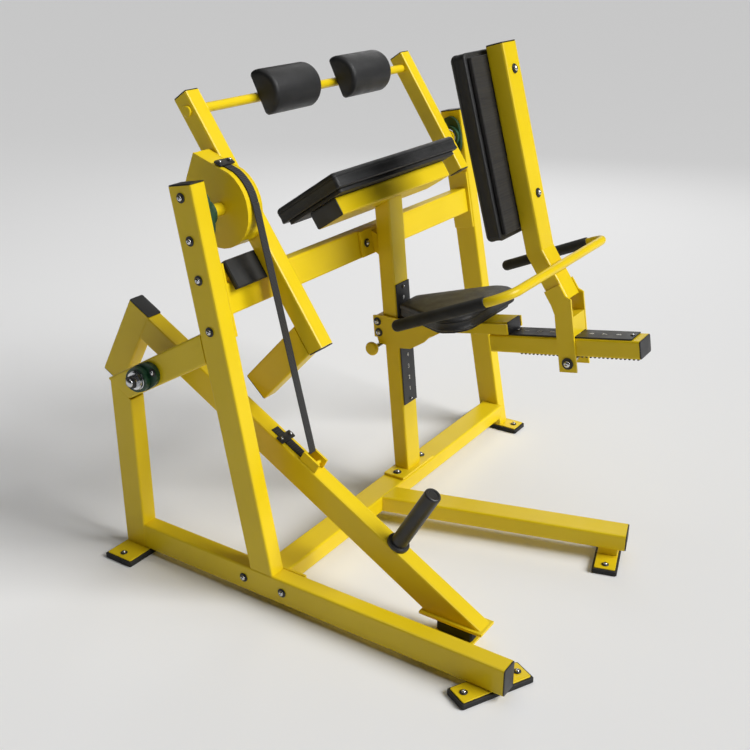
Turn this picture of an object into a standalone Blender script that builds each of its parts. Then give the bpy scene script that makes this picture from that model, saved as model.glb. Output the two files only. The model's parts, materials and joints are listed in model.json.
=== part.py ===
"""Plate-loaded seated triceps extension machine, built as an assembly of separate pieces.

Layout: X points to the user's right, Y ahead of the user, Z up from the floor.
The layout's zero is where the seat's centre plane meets the cross beam's centre line.
"""
from math import cos, pi, radians, sin

import bmesh
import bpy
from mathutils import Matrix, Vector

# ---------------------------------------------------------------- driving dimensions (metres)
GAP = 0.0003              # gap between touching pieces
WELD = 0.0006             # depth by which welded pieces run into each other
WALL = 0.003              # wall of every steel tube
CORNER = 0.005            # outer corner radius of a tube
NARROW = 0.050            # narrow side of the frame tube
DEEP = 0.075              # deep side of the frame tube
BASE = 0.0175             # height of the frame above the floor
CENTRE = Vector((0.0848, 0.0234, 0.0))   # moves the middle of the footprint to the origin

LEFT = -0.6913            # centre plane of the left side frame
RIGHT = 0.5847            # centre plane of the right upright
LEVER_X = -0.5646         # centre plane of cam, belt and weight lever
RAIL_TOP = BASE + DEEP
BEAM_LOW = 0.0425         # underside of the low cross beams
BEAM_MID = (BEAM_LOW + RAIL_TOP) / 2

UPRIGHT_LEAN = 10.78      # degrees from vertical, top toward +Y
POST_LEAN = 5.37
SWING_LEAN = 34.0
BACK_LEAN = 15.7
BACK_FOOT_LEAN = 34.6
LEVER_DROP = 29.8         # fall of the weight lever below the horizontal
STRUT_RISE = 30.0
ARM_PAD_SLOPE = 33.5
BEAM_RISE = 9.7           # rise of seat and back beam toward -Y
RAIL_YAW = 15.7           # splay of the centre rail

SWING_PIVOT = Vector((0.0, 0.1924, 1.0175))
LEVER_PIVOT = Vector((0.0, 0.3818, 0.5676))
SHAFT_R = 0.0165
BELT_WIDE = 0.025
BELT_THICK = 0.0025
SWING_TUBE = 0.050
LEVER_DEEP = 0.080
CAM_HALF = 0.0281         # half of the cam's width
CAM_PLATE = 0.004

X = Vector((1.0, 0.0, 0.0))
Y = Vector((0.0, 1.0, 0.0))
Z = Vector((0.0, 0.0, 1.0))


def lean(degrees):
    """Upward unit vector in the side plane, tipped toward +Y."""
    return Vector((0.0, sin(radians(degrees)), cos(radians(degrees))))


def across(direction):
    """Unit vector square to a side-plane direction, pointing ahead of it."""
    return Vector((0.0, direction.z, -direction.y))


UPRIGHT = lean(UPRIGHT_LEAN)
POST = lean(POST_LEAN)
SWING = lean(SWING_LEAN)
BACK = lean(BACK_LEAN)
BACK_FOOT = lean(BACK_FOOT_LEAN)
LEVER = Vector((0.0, -cos(radians(LEVER_DROP)), -sin(radians(LEVER_DROP))))
LEVER_UP = Vector((0.0, LEVER.z, -LEVER.y))
BEAM = Vector((0.0, -cos(radians(BEAM_RISE)), sin(radians(BEAM_RISE))))
BEAM_UP = Vector((0.0, BEAM.z, -BEAM.y))
ARM = Vector((0.0, cos(radians(ARM_PAD_SLOPE)), -sin(radians(ARM_PAD_SLOPE))))
ARM_UP = Vector((0.0, -ARM.z, ARM.y))
RAIL = Vector((sin(radians(RAIL_YAW)), -cos(radians(RAIL_YAW)), 0.0))

UPRIGHT_FOOT = Vector((0.0, 0.01455, 0.0912))
UPRIGHT_LENGTH = 1.0233
POST_FOOT = Vector((0.0, 0.0049, 0.09765))
BEAM_START = Vector((0.0, -0.2828, 0.582))
BEAM_LENGTH = 0.4328
CROSSBEAM = Vector((0.0, 0.151, 0.808))
BACK_KNEE = Vector((0.0, -0.3985, 0.8645))
ARM_TUBE = Vector((0.0, 0.0955, 0.9509))

FINISH = {
    "yellow": ((0.80, 0.58, 0.03), 0.35, 0.0),
    "black": ((0.02, 0.02, 0.022), 0.5, 0.0),
    "rubber": ((0.015, 0.015, 0.016), 0.8, 0.0),
    "vinyl": ((0.03, 0.03, 0.032), 0.45, 0.0),
    "green": ((0.02, 0.10, 0.04), 0.5, 0.2),
    "steel": ((0.62, 0.63, 0.65), 0.25, 1.0),
    "wood": ((0.05, 0.037, 0.026), 0.7, 0.0),
}


# ---------------------------------------------------------------- scene and nodes
def clear_scene():
    """Remove whatever the scene holds."""
    for item in list(bpy.data.objects):
        bpy.data.objects.remove(item, do_unlink=True)


def collection(name):
    """A new collection linked to the scene."""
    made = bpy.data.collections.new(name)
    bpy.context.scene.collection.children.link(made)
    return made


clear_scene()
PARTS = collection("triceps_extension_machine")
CUTTERS = collection("cutters")
BODIES = {}


def add_body(name, origin):
    """An empty on a joint's axis, which carries one moving body."""
    empty = bpy.data.objects.new(name, None)
    PARTS.objects.link(empty)
    if BODIES:
        empty.parent = BODIES["frame"][0]
        empty.location = origin
    else:
        empty.location = CENTRE
    BODIES[name] = (empty, Vector(origin))


def material(name, finish):
    """A Principled material for one node."""
    colour, roughness, metallic = FINISH[finish]
    made = bpy.data.materials.new(name)
    made.use_nodes = True
    shader = made.node_tree.nodes["Principled BSDF"]
    shader.inputs["Base Color"].default_value = (*colour, 1.0)
    shader.inputs["Roughness"].default_value = roughness
    shader.inputs["Metallic"].default_value = metallic
    return made


def node(name, finish, body, data, matrix=None):
    """One named piece, parented to its body's empty."""
    made = bpy.data.objects.new(name, data)
    PARTS.objects.link(made)
    data.materials.append(material(name, finish))
    empty, origin = BODIES[body]
    made.parent = empty
    made.matrix_basis = Matrix.Translation(-origin) @ (matrix or Matrix())
    return made


def helper(name, bm):
    """A hidden solid that a Boolean modifier reads."""
    data = bpy.data.meshes.new(name)
    bm.to_mesh(data)
    bm.free()
    made = bpy.data.objects.new(name, data)
    CUTTERS.objects.link(made)
    made.parent = BODIES["frame"][0]
    made.hide_render = True
    made.display_type = "WIRE"
    return made


def combine(target, other, operation):
    """Join another solid to a piece, or cut it out."""
    modifier = target.modifiers.new(other.name, "BOOLEAN")
    modifier.operation = operation
    modifier.solver = "EXACT"
    modifier.object = other


def mesh_node(name, finish, body, bm):
    """One piece from a bmesh in layout coordinates; a second call welds another solid to it."""
    made = bpy.data.objects.get(name)
    if made:
        combine(made, helper(name + "_weld", bm), "UNION")
        return made
    data = bpy.data.meshes.new(name)
    bm.to_mesh(data)
    bm.free()
    data.shade_smooth()
    data.set_sharp_from_angle(angle=radians(35))
    return node(name, finish, body, data)


# ---------------------------------------------------------------- shape builders
def axes(origin, side, up):
    """Matrix whose x is side and z is up."""
    up = up.normalized()
    depth = up.cross(side).normalized()
    side = depth.cross(up)
    turned = Matrix((side, depth, up)).transposed().to_4x4()
    return Matrix.Translation(origin) @ turned


def add_box(bm, centre, size, side=X, up=Z, bevel=0.0):
    """A box of the given size, optionally with its edges eased."""
    matrix = axes(centre, side, up) @ Matrix.Diagonal((*size, 1.0))
    made = bmesh.ops.create_cube(bm, size=1.0, matrix=matrix)
    if bevel:
        edges = list({edge for vert in made["verts"] for edge in vert.link_edges})
        bmesh.ops.bevel(bm, geom=edges, offset=bevel, segments=1, profile=0.5, affect="EDGES")


def add_rod(bm, start, end, radius, sides=20, radius_end=None):
    """A round bar between two points."""
    line = end - start
    side = X if abs(line.normalized().x) < 0.9 else Y
    matrix = axes((start + end) / 2, side, line)
    bmesh.ops.create_cone(bm, cap_ends=True, segments=sides, radius1=radius,
                          radius2=radius if radius_end is None else radius_end,
                          depth=line.length, matrix=matrix)


def add_turned(bm, origin, axis, profile, sides=24):
    """A turned shape: a closed (radius, height) profile swept around an axis."""
    side = X if abs(axis.x) < 0.9 else Y
    matrix = axes(origin, side, axis)
    verts = [bm.verts.new(matrix @ Vector((radius, 0.0, height))) for radius, height in profile]
    on_axis = profile[0][0] == 0.0 and profile[-1][0] == 0.0
    pairs = list(zip(verts, verts[1:])) + ([] if on_axis else [(verts[-1], verts[0])])
    edges = [bm.edges.new(pair) for pair in pairs]
    bmesh.ops.spin(bm, geom=verts + edges, cent=origin, axis=axis, angle=2 * pi, steps=sides,
                   use_merge=True)
    bmesh.ops.remove_doubles(bm, verts=bm.verts, dist=1e-6)
    bmesh.ops.recalc_face_normals(bm, faces=bm.faces)


def add_ring(bm, origin, axis, outer, inner, height, sides=24):
    """A washer or collar standing on origin."""
    profile = [(inner, 0.0), (outer, 0.0), (outer, height), (inner, height)]
    add_turned(bm, origin, axis, profile, sides)


def plane_height(x, y, plane, inverse):
    """Height at which the line (x, y, *) of a tube meets a cutting plane."""
    point = inverse @ plane[0]
    normal = inverse.to_3x3() @ plane[1]
    return point.z - (normal.x * (x - point.x) + normal.y * (y - point.y)) / normal.z


def add_tube(bm, start, end, wide, deep, side=X, start_plane=None, end_plane=None, wall=WALL):
    """A hollow rectangular tube with rounded corners, its ends square or on given planes."""
    length = (end - start).length
    matrix = axes(start, side, end - start)
    inverse = matrix.inverted()
    shell = bmesh.new()
    place = Matrix.Translation((0.0, 0.0, length / 2)) @ Matrix.Diagonal((wide, deep, length, 1.0))
    bmesh.ops.create_cube(shell, size=1.0, matrix=place)
    ends = [face for face in shell.faces if abs(face.normal.z) > 0.5]
    bmesh.ops.delete(shell, geom=ends, context="FACES_ONLY")
    upright = [edge for edge in shell.edges
               if abs(edge.verts[0].co.z - edge.verts[1].co.z) > length / 2]
    bmesh.ops.bevel(shell, geom=upright, offset=CORNER, segments=2, profile=0.5, affect="EDGES")
    bmesh.ops.recalc_face_normals(shell, faces=shell.faces)
    bmesh.ops.solidify(shell, geom=shell.faces[:], thickness=wall)
    for vert in shell.verts:
        plane = start_plane if vert.co.z < length / 2 else end_plane
        if plane:
            vert.co.z = plane_height(vert.co.x, vert.co.y, plane, inverse)
    bmesh.ops.recalc_face_normals(shell, faces=shell.faces)
    shell.transform(matrix)
    piece = bpy.data.meshes.new("tube")
    shell.to_mesh(piece)
    shell.free()
    bm.from_mesh(piece)
    bpy.data.meshes.remove(piece)


def tube_node(name, finish, body, *args, **keywords):
    """One hollow tube as its own piece."""
    bm = bmesh.new()
    add_tube(bm, *args, **keywords)
    return mesh_node(name, finish, body, bm)


def box_node(name, finish, body, *args, **keywords):
    """One box as its own piece."""
    bm = bmesh.new()
    add_box(bm, *args, **keywords)
    return mesh_node(name, finish, body, bm)


def outline_data(name, loops, thickness):
    """A flat outline with its holes, as a filled and extruded 2D curve."""
    curve = bpy.data.curves.new(name, "CURVE")
    curve.dimensions = "2D"
    curve.fill_mode = "BOTH"
    curve.extrude = thickness / 2
    for loop in loops:
        spline = curve.splines.new("POLY")
        spline.points.add(len(loop) - 1)
        spline.use_cyclic_u = True
        for point, (across_x, up_y) in zip(spline.points, loop):
            point.co = (across_x, up_y, 0.0, 1.0)
    return curve


def add_plate(bm, loops, thickness, matrix):
    """A flat plate from its outline and holes, drawn in the matrix's own plane."""
    holder = bpy.data.objects.new("plate", outline_data("plate", loops, thickness))
    CUTTERS.objects.link(holder)
    graph = bpy.context.evaluated_depsgraph_get()
    flat = bpy.data.meshes.new_from_object(holder.evaluated_get(graph))
    bpy.data.objects.remove(holder)
    flat.transform(matrix)
    bm.from_mesh(flat)
    bpy.data.meshes.remove(flat)
    bmesh.ops.remove_doubles(bm, verts=bm.verts, dist=1e-6)


def add_side_plate(bm, loops, x_low, x_high):
    """A plate in the side plane: (Y, Z) loops, between two X positions."""
    matrix = Matrix((Y, Z, X)).transposed().to_4x4()
    matrix.translation = X * (x_low + x_high) / 2
    add_plate(bm, loops, x_high - x_low, matrix)


def circle(centre, radius, sides=24):
    """Points around a circle in the side plane."""
    steps = [2 * pi * i / sides for i in range(sides)]
    return [(centre.y + radius * cos(a), centre.z + radius * sin(a)) for a in steps]


def at(x, point):
    """A side-plane point moved to X."""
    return Vector((x, point.y, point.z))


# ---------------------------------------------------------------- the welded frame
def build_side_frames():
    """Left rail, rear post, strut and the two leaning uprights."""
    mid = BASE + DEEP / 2
    tube_node("left_base_rail", "yellow", "frame", Vector((LEFT, 0.4425, mid)),
              Vector((LEFT, -0.6994, mid)), NARROW, DEEP)
    mitre = (Vector((0.0, 0.485, 0.506)), Vector((0.0, -0.5, 0.866)))
    tube_node("rear_post", "yellow", "frame", Vector((LEFT, 0.4803, BASE)),
              Vector((LEFT, 0.4803, 0.5)), NARROW, DEEP, end_plane=mitre)
    rise = Vector((0.0, -cos(radians(STRUT_RISE)), sin(radians(STRUT_RISE))))
    start = at(LEFT, LEVER_PIVOT) - rise * 0.1192
    rear_face = UPRIGHT_FOOT + across(UPRIGHT) * (DEEP / 2 + GAP)
    mitre_gap = (mitre[0] + mitre[1] * GAP, mitre[1])
    strut = tube_node("lever_strut", "yellow", "frame", start, start + rise * 0.35, NARROW, DEEP,
                      start_plane=mitre_gap, end_plane=(rear_face, across(UPRIGHT)))
    hole = bmesh.new()
    middle = at(LEFT, LEVER_PIVOT)
    add_rod(hole, middle - X * 0.05, middle + X * 0.05, SHAFT_R + 0.002, 24)
    combine(strut, helper("strut_bore", hole), "DIFFERENCE")
    for name, x, low in (("left_upright", LEFT, RAIL_TOP + GAP), ("right_upright", RIGHT, BASE)):
        floor = (Vector((0.0, 0.0, low)), Z)
        foot = at(x, UPRIGHT_FOOT)
        tube_node(name, "yellow", "frame", foot, foot + UPRIGHT * UPRIGHT_LENGTH, NARROW, DEEP,
                  start_plane=floor)


def build_cross_members():
    """Low beam, high beam, centre rail and the plates that join them to the uprights."""
    inner_left = LEFT + NARROW / 2
    inner_right = RIGHT - NARROW / 2
    plate = 0.008
    tube_node("cross_base_beam", "yellow", "frame",
              Vector((inner_left + plate - WELD, 0.0, BEAM_MID)),
              Vector((inner_right - GAP, 0.0, BEAM_MID)), NARROW, DEEP, side=Z)
    high_left = at(inner_left + plate - WELD, CROSSBEAM)
    high_right = at(inner_right - plate + WELD, CROSSBEAM)
    tube_node("upper_crossbeam", "yellow", "frame", high_left, high_right, LEVER_DEEP, NARROW,
              side=UPRIGHT)
    start = Vector((-0.1715, -0.0378, BEAM_MID))
    wall_plane = (Vector((0.0, -DEEP / 2 - GAP, 0.0)), Y)
    tube_node("centre_rail", "yellow", "frame", start, start + RAIL * 0.7005, NARROW, DEEP,
              side=Z, start_plane=wall_plane)
    box_node("cross_base_beam", "yellow", "frame",
             Vector((inner_left + GAP + plate / 2, 0.0, BASE + DEEP / 2)),
             (plate, 0.185, DEEP), bevel=0.001)
    for x in (inner_left + GAP + plate / 2, inner_right - GAP - plate / 2):
        plates = box_node("upper_crossbeam", "yellow", "frame", at(x, CROSSBEAM),
                          (plate, 0.070, 0.185), up=UPRIGHT, bevel=0.001)
    hole = bmesh.new()
    add_rod(hole, at(inner_left - 0.01, CROSSBEAM), at(inner_right + 0.01, CROSSBEAM), 0.012, 12)
    combine(plates, helper("crossbeam_vent", hole), "DIFFERENCE")


def build_centre_post():
    """Post under the arm pad, with its foot plate and the bracket to the high beam."""
    plate = 0.008
    foot_top = RAIL_TOP + GAP + plate
    under_arm = ARM_TUBE - ARM_UP * (NARROW / 2 + GAP)
    tube_node("centre_post", "yellow", "frame", POST_FOOT, POST_FOOT + POST * 0.83, DEEP, NARROW,
              start_plane=(Vector((0.0, 0.0, foot_top - WELD)), Z),
              end_plane=(under_arm, ARM_UP))
    box_node("centre_post", "yellow", "frame", Vector((0.0, 0.0, foot_top - plate / 2)),
             (0.182, 0.070, plate), bevel=0.001)
    bracket = CROSSBEAM - across(UPRIGHT) * (NARROW / 2 + GAP + plate / 2)
    box_node("centre_post", "yellow", "frame", bracket, (0.174, plate, 0.075), up=UPRIGHT,
             bevel=0.001)
    front = bracket - across(UPRIGHT) * (plate / 2 - WELD)
    behind = POST_FOOT + POST * 0.711 + across(POST) * (NARROW / 2 - WELD)
    corners = (front + UPRIGHT * 0.03, front - UPRIGHT * 0.03, behind - POST * 0.03,
               behind + POST * 0.03)
    spacer = bmesh.new()
    add_side_plate(spacer, [[(corner.y, corner.z) for corner in corners]], -0.03, 0.03)
    mesh_node("centre_post", "yellow", "frame", spacer)
    tube_node("arm_pad_tube", "yellow", "frame", ARM_TUBE - X * 0.282, ARM_TUBE + X * 0.278,
              NARROW, 0.100, side=ARM_UP)


def build_arm_pad():
    """Sloping upper-arm cushion, its board included."""
    pad = ARM_TUBE + ARM_UP * (NARROW / 2 + GAP + 0.0297) + ARM * 0.016
    box_node("arm_pad", "vinyl", "frame", pad, (0.628, 0.236, 0.0594), up=ARM_UP, bevel=0.008)


FEET = (
    # name, centre, length, width, yaw of the long side
    ("foot_rear_left", Vector((-0.6913, 0.475, 0.0)), 0.211, 0.100, 0.0),
    ("foot_front_left", Vector((-0.683, -0.652, 0.0)), 0.205, 0.070, -27.5),
    ("foot_right", Vector((0.5897, 0.0075, 0.0)), 0.215, 0.075, 90.0),
    ("foot_centre", Vector((0.009, -0.667, 0.0)), 0.215, 0.070, RAIL_YAW),
)


def build_feet():
    """Rubber shoes, each with its steel plate; a stub lifts the centre rail off its plate."""
    rim, shoe = 0.006, 0.0135
    for name, centre, length, width, yaw in FEET:
        side = Vector((cos(radians(yaw)), sin(radians(yaw)), 0.0))
        box_node(name, "rubber", "frame", centre + Z * shoe / 2, (length, width, shoe), side=side,
                 bevel=0.002)
        top = BASE - GAP
        box_node(name, "rubber", "frame", centre + Z * (top + shoe - WELD) / 2,
                 (length - 2 * rim, width - 2 * rim, top - shoe + WELD), side=side)
    low, high = BASE - 2 * WELD, BEAM_LOW - GAP
    box_node("foot_centre", "yellow", "frame", FEET[3][1] + Z * (low + high) / 2,
             (0.060, 0.055, high - low), side=Z.cross(RAIL))


# ---------------------------------------------------------------- bearings and stops
def flange_loop(centre, along, reach, hub, ear, sides=28):
    """Two-eared flange: a round hub drawn out to a rounded ear at each end."""
    loop = []
    normal = across(along)
    for step in range(sides):
        angle = 2 * pi * step / sides
        pull = abs(cos(angle)) ** 3
        radius = hub * (1 - pull) + (reach + ear) * pull
        point = centre + along * radius * cos(angle) + normal * radius * sin(angle)
        loop.append((point.y, point.z))
    return loop


def build_bearing(name, x_face, outward, centre, along):
    """Cast flange housing standing on a face, with a running fit round its shaft."""
    bore = SHAFT_R + 0.0004
    flange = 0.012
    loops = [flange_loop(centre, along, 0.052, 0.036, 0.012), circle(centre, bore)]
    near, far = sorted((x_face + outward * GAP, x_face + outward * (GAP + flange)))
    bm = bmesh.new()
    add_side_plate(bm, loops, near, far)
    mesh_node(name, "green", "frame", bm)
    boss = bmesh.new()
    add_ring(boss, at(x_face + outward * (GAP + flange - WELD), centre), X * outward, 0.034,
             bore, 0.014)
    mesh_node(name, "green", "frame", boss)


def build_bearings():
    """Swing bearings on the uprights and lever bearings on the strut."""
    inner_left, inner_right = LEFT + NARROW / 2, RIGHT - NARROW / 2
    strut_line = Vector((0.0, -cos(radians(STRUT_RISE)), sin(radians(STRUT_RISE))))
    build_bearing("swing_bearing_left", inner_left, 1, SWING_PIVOT, UPRIGHT)
    build_bearing("swing_bearing_right", inner_right, -1, SWING_PIVOT, UPRIGHT)
    build_bearing("lever_bearing_outer", LEFT - NARROW / 2, -1, LEVER_PIVOT, strut_line)
    build_bearing("lever_bearing_inner", inner_left, 1, LEVER_PIVOT, strut_line)


def build_stops():
    """Rubber stops for the weight lever and for the swing, on their brackets."""
    inner = LEFT + NARROW / 2
    box_node("lever_stop_bracket", "yellow", "frame", Vector((inner + GAP + 0.003, -0.5, 0.050)),
             (0.006, 0.110, 0.060))
    box_node("lever_stop_bracket", "yellow", "frame", Vector((-0.5935, -0.5, 0.0230)),
             (0.134, 0.109, 0.006))
    box_node("lever_stop_rubber", "rubber", "frame", Vector((LEVER_X, -0.5, 0.0422)),
             (0.060, 0.100, 0.0318), bevel=0.004)
    middle = 0.156
    rear = SWING_PIVOT + across(SWING) * (SWING_TUBE / 2 + GAP)
    rubber = rear - SWING * middle + across(SWING) * 0.008
    box_node("swing_stop_rubber", "rubber", "frame", at(-0.562, rubber), (0.156, 0.016, 0.076),
             up=SWING, bevel=0.003)
    plate = rear - SWING * (middle - 0.018) + across(SWING) * (0.016 + GAP + 0.003)
    box_node("swing_stop_bracket", "yellow", "frame", at(-0.562, plate), (0.156, 0.006, 0.040),
             up=SWING)
    back = across(SWING) * (0.003 - WELD)
    top = CROSSBEAM + UPRIGHT * (LEVER_DEEP / 2 + GAP)
    corners = (plate + SWING * 0.018 + back, plate - SWING * 0.018 + back,
               top - across(UPRIGHT) * 0.018, top + across(UPRIGHT) * 0.022)
    for x in (-0.630, -0.500):
        bm = bmesh.new()
        add_side_plate(bm, [[(corner.y, corner.z) for corner in corners]], x, x + 0.006)
        mesh_node("swing_stop_bracket", "yellow", "frame", bm)


def build_rack(name, body, start, along, outward, count):
    """A rack 30 mm wide: a strip with a row of teeth."""
    pitch, base, tooth, wide = 0.012, 0.004, 0.0055, 0.030
    loop = [(0.0, 0.0), (count * pitch, 0.0)]
    for step in range(count, 0, -1):
        loop.append(((step - 0.15) * pitch, base + tooth))
        loop.append(((step - 0.50) * pitch, base + tooth))
        loop.append(((step - 0.65) * pitch, base))
        loop.append(((step - 0.95) * pitch, base))
    side = along.cross(outward)
    matrix = Matrix((along, outward, side)).transposed().to_4x4()
    matrix.translation = start
    bm = bmesh.new()
    add_plate(bm, [loop], wide, matrix)
    mesh_node(name, "black", body, bm)


def build_seat_scale():
    """Rack and number plate on the centre post."""
    behind = POST_FOOT + across(POST) * (NARROW / 2 + GAP)
    build_rack("seat_rack", "frame", behind + POST * 0.210, POST, across(POST), 30)
    front = POST_FOOT - across(POST) * (NARROW / 2 + GAP + 0.002)
    box_node("seat_number_plate", "black", "frame", front + POST * 0.407, (0.070, 0.004, 0.380),
             up=POST, bevel=0.001)


# ---------------------------------------------------------------- the swing
CAM_FLARE = radians(15.0)


def cam_radius(angle):
    """Radius of the cam's rim, angle measured from +Y toward +Z, growing both ways from pi."""
    turn = (angle - pi) / (pi / 2)
    if turn < 0:
        return 0.0885 + 0.0155 * turn * turn
    return 0.0885 + 0.0125 * turn


def cam_arc(first, last, grow, steps):
    """Points along the round part of the cam's rim."""
    points = []
    for step in range(steps + 1):
        angle = first + (last - first) * step / steps
        radius = cam_radius(angle) + grow
        points.append(SWING_PIVOT + Vector((0.0, cos(angle), sin(angle))) * radius)
    return points


CAM_TOP = radians(110.0)
CAM_CORNER = SWING_PIVOT + Vector((0.0, 0.0784, 0.1295))


def cam_loop(grow=0.0):
    """Whole outline of the cam: round front and bottom, straight top and rear."""
    corner_out = Vector((0.0, 0.4, 0.92)) * grow
    rear = SWING_PIVOT + Vector((0.0, 0.110 + grow, 0.055))
    loop = cam_arc(CAM_TOP, 2 * pi + CAM_FLARE, grow, 22) + [rear, CAM_CORNER + corner_out]
    return [(point.y, point.z) for point in loop]


BELT_TILT = radians(13.65)
TANGENT = pi - BELT_TILT
SPAN_TOP = SWING_PIVOT + Vector((0.0, cos(TANGENT), sin(TANGENT))) * (0.0885 + BELT_THICK)
SPAN_DOWN = Vector((0.0, -sin(BELT_TILT), -cos(BELT_TILT)))


def build_cam():
    """Box cam: two cheeks, the rim between them and the belt's clamp."""
    low, high = LEVER_X - CAM_HALF, LEVER_X + CAM_HALF
    bore = circle(SWING_PIVOT, SHAFT_R + GAP)
    rim = [cam_loop(-WELD), cam_loop(-0.0035)]
    for loops, near, far in (([cam_loop(), bore], low, low + CAM_PLATE),
                             (rim, low + CAM_PLATE - WELD, high - CAM_PLATE + WELD),
                             ([cam_loop(), bore], high - CAM_PLATE, high)):
        bm = bmesh.new()
        add_side_plate(bm, loops, near, far)
        mesh_node("cam", "yellow", "swing", bm)
    outer = cam_arc(CAM_TOP, TANGENT, GAP, 10)
    over = cam_arc(CAM_TOP, TANGENT, GAP + BELT_THICK, 10)
    strip = (CAM_CORNER - outer[0]).normalized()
    rise = Vector((0.0, -strip.z, strip.y))
    tail = outer[0] + strip * 0.060 + rise * GAP
    loop = [tail] + outer + over[::-1] + [tail + rise * BELT_THICK]
    bm = bmesh.new()
    half = BELT_WIDE / 2
    add_side_plate(bm, [[(point.y, point.z) for point in loop]], LEVER_X - half, LEVER_X + half)
    mesh_node("belt_wrap", "rubber", "swing", bm)


def build_swing():
    """Two posts joined by the roller bar, the shafts, the counterweight arm and caps."""
    left, right = -0.5063, 0.4927
    top = SWING_PIVOT + SWING * 0.301
    low_left = SWING_PIVOT - SWING * 0.418
    low_right = SWING_PIVOT - SWING * 0.116
    tube_node("swing_left_post", "yellow", "swing", at(left, low_left), at(left, top),
              SWING_TUBE, SWING_TUBE)
    tube_node("swing_right_post", "yellow", "swing", at(right, low_right), at(right, top),
              SWING_TUBE, SWING_TUBE)
    rear_face = SWING_PIVOT + across(SWING) * (SWING_TUBE / 2 + GAP)
    stub_dir = Vector((0.0, 0.688, -0.7257))
    stub_start = Vector((left, -0.0003, 0.6926))
    tube_node("counterweight_arm", "yellow", "swing", stub_start, stub_start + stub_dir * 0.233,
              SWING_TUBE, 0.080, start_plane=(rear_face, across(SWING)))
    shaft = bmesh.new()
    add_rod(shaft, at(-0.6610, SWING_PIVOT), at(left - SWING_TUBE / 2 - GAP, SWING_PIVOT),
            SHAFT_R, 24)
    mesh_node("swing_shaft_left", "yellow", "swing", shaft)
    shaft = bmesh.new()
    add_rod(shaft, at(right + SWING_TUBE / 2 + GAP, SWING_PIVOT), at(0.5545, SWING_PIVOT),
            SHAFT_R, 24)
    mesh_node("swing_shaft_right", "yellow", "swing", shaft)
    grip = SWING_PIVOT + SWING * 0.2587
    bar = bmesh.new()
    add_rod(bar, at(left + SWING_TUBE / 2 + GAP, grip), at(right - SWING_TUBE / 2 - GAP, grip),
            0.0125, 20)
    mesh_node("roller_bar", "yellow", "swing", bar)
    return grip


PAD_LENGTH = 0.205
PAD_CENTRES = (-0.172, 0.186)


def build_forearm_pads(grip):
    """Two half-round forearm pads, their boards included, flat side on the bar."""
    flat = lean(26.4)
    out = -across(flat)
    face = grip + out * (0.0125 + GAP) + flat * 0.004
    board = 0.012
    loop = [face - flat * 0.0615, face + flat * 0.0615]
    for step in range(17):
        angle = pi * step / 16
        loop.append(face + out * board + flat * 0.0615 * cos(angle) + out * 0.060 * sin(angle))
    for name, x in zip(("forearm_pad_left", "forearm_pad_right"), PAD_CENTRES):
        bm = bmesh.new()
        add_side_plate(bm, [[(point.y, point.z) for point in loop]], x - PAD_LENGTH / 2,
                       x + PAD_LENGTH / 2)
        mesh_node(name, "vinyl", "swing", bm)


# ---------------------------------------------------------------- the weight lever and belt
def lever_point(along, up=0.0):
    """A point of the lever's side plane, measured from its pivot."""
    return at(LEVER_X, LEVER_PIVOT) + LEVER * along + LEVER_UP * up


def build_lever():
    """Lever beam with its rear leg, strike plate, shaft, weight horn and belt fittings."""
    strike_top = 0.0666
    tube_node("lever_frame", "yellow", "lever", lever_point(-0.1378 - WELD), lever_point(1.0), NARROW,
              LEVER_DEEP, end_plane=(Vector((0.0, 0.0, strike_top + GAP)), Z))
    head = lever_point(-0.1778, 0.040)
    tube_node("lever_frame", "yellow", "lever", head, head - LEVER_UP * 0.265, NARROW,
              LEVER_DEEP)
    box_node("strike_plate", "yellow", "lever", Vector((LEVER_X, -0.4895, strike_top - 0.004)),
             (0.068, 0.179, 0.008), bevel=0.001)
    inner = LEVER_X - NARROW / 2 - GAP
    shaft = bmesh.new()
    add_rod(shaft, at(-0.7610, LEVER_PIVOT), at(inner, LEVER_PIVOT), SHAFT_R, 24)
    mesh_node("lever_shaft", "steel", "lever", shaft)
    washer = bmesh.new()
    add_rod(washer, at(-0.7480, LEVER_PIVOT), at(-0.7540, LEVER_PIVOT), 0.024, 24)
    mesh_node("lever_shaft", "steel", "lever", washer)
    build_horn()
    build_belt_fittings()


def build_horn():
    """Horn for the weight plates: a sleeve on its collar."""
    foot = Vector((LEVER_X, -0.313, 0.2136))
    half = LEVER_DEEP / 2
    foot = foot + LEVER_UP * (half + GAP - (foot - lever_point(0)).dot(LEVER_UP))
    collar = bmesh.new()
    add_rod(collar, foot, foot + LEVER_UP * 0.010, 0.030, 24)
    mesh_node("weight_horn", "black", "lever", collar)
    sleeve = bmesh.new()
    base = foot + LEVER_UP * (0.010 - WELD)
    profile = [(0.0, 0.0), (0.022, 0.0), (0.022, 0.190), (0.0195, 0.1945), (0.0, 0.1955)]
    add_turned(sleeve, base, LEVER_UP, profile, 24)
    mesh_node("weight_horn", "black", "lever", sleeve)


def build_belt_fittings():
    """Lugs and cross pin that hold the belt's lower end, and the belt's tail."""
    half = LEVER_DEEP / 2
    pin_along, pin_up = 0.4832, half + 0.014
    for sign in (-1, 1):
        x = sign * (BELT_WIDE / 2 + 0.0045)
        box_node("belt_lugs", "yellow", "lever",
                 lever_point(pin_along - 0.012, half + GAP + 0.015) + X * x,
                 (0.006, 0.055, 0.030), up=LEVER_UP)
    pin = bmesh.new()
    reach = BELT_WIDE / 2 + 0.0045
    middle = lever_point(pin_along, pin_up)
    add_rod(pin, middle - X * reach, middle + X * reach, 0.005, 12)
    mesh_node("belt_lugs", "yellow", "lever", pin)
    box_node("belt_tail", "rubber", "lever", lever_point(0.395, half + GAP + BELT_THICK / 2),
             (BELT_WIDE, 0.125, BELT_THICK), up=LEVER_UP)


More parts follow.
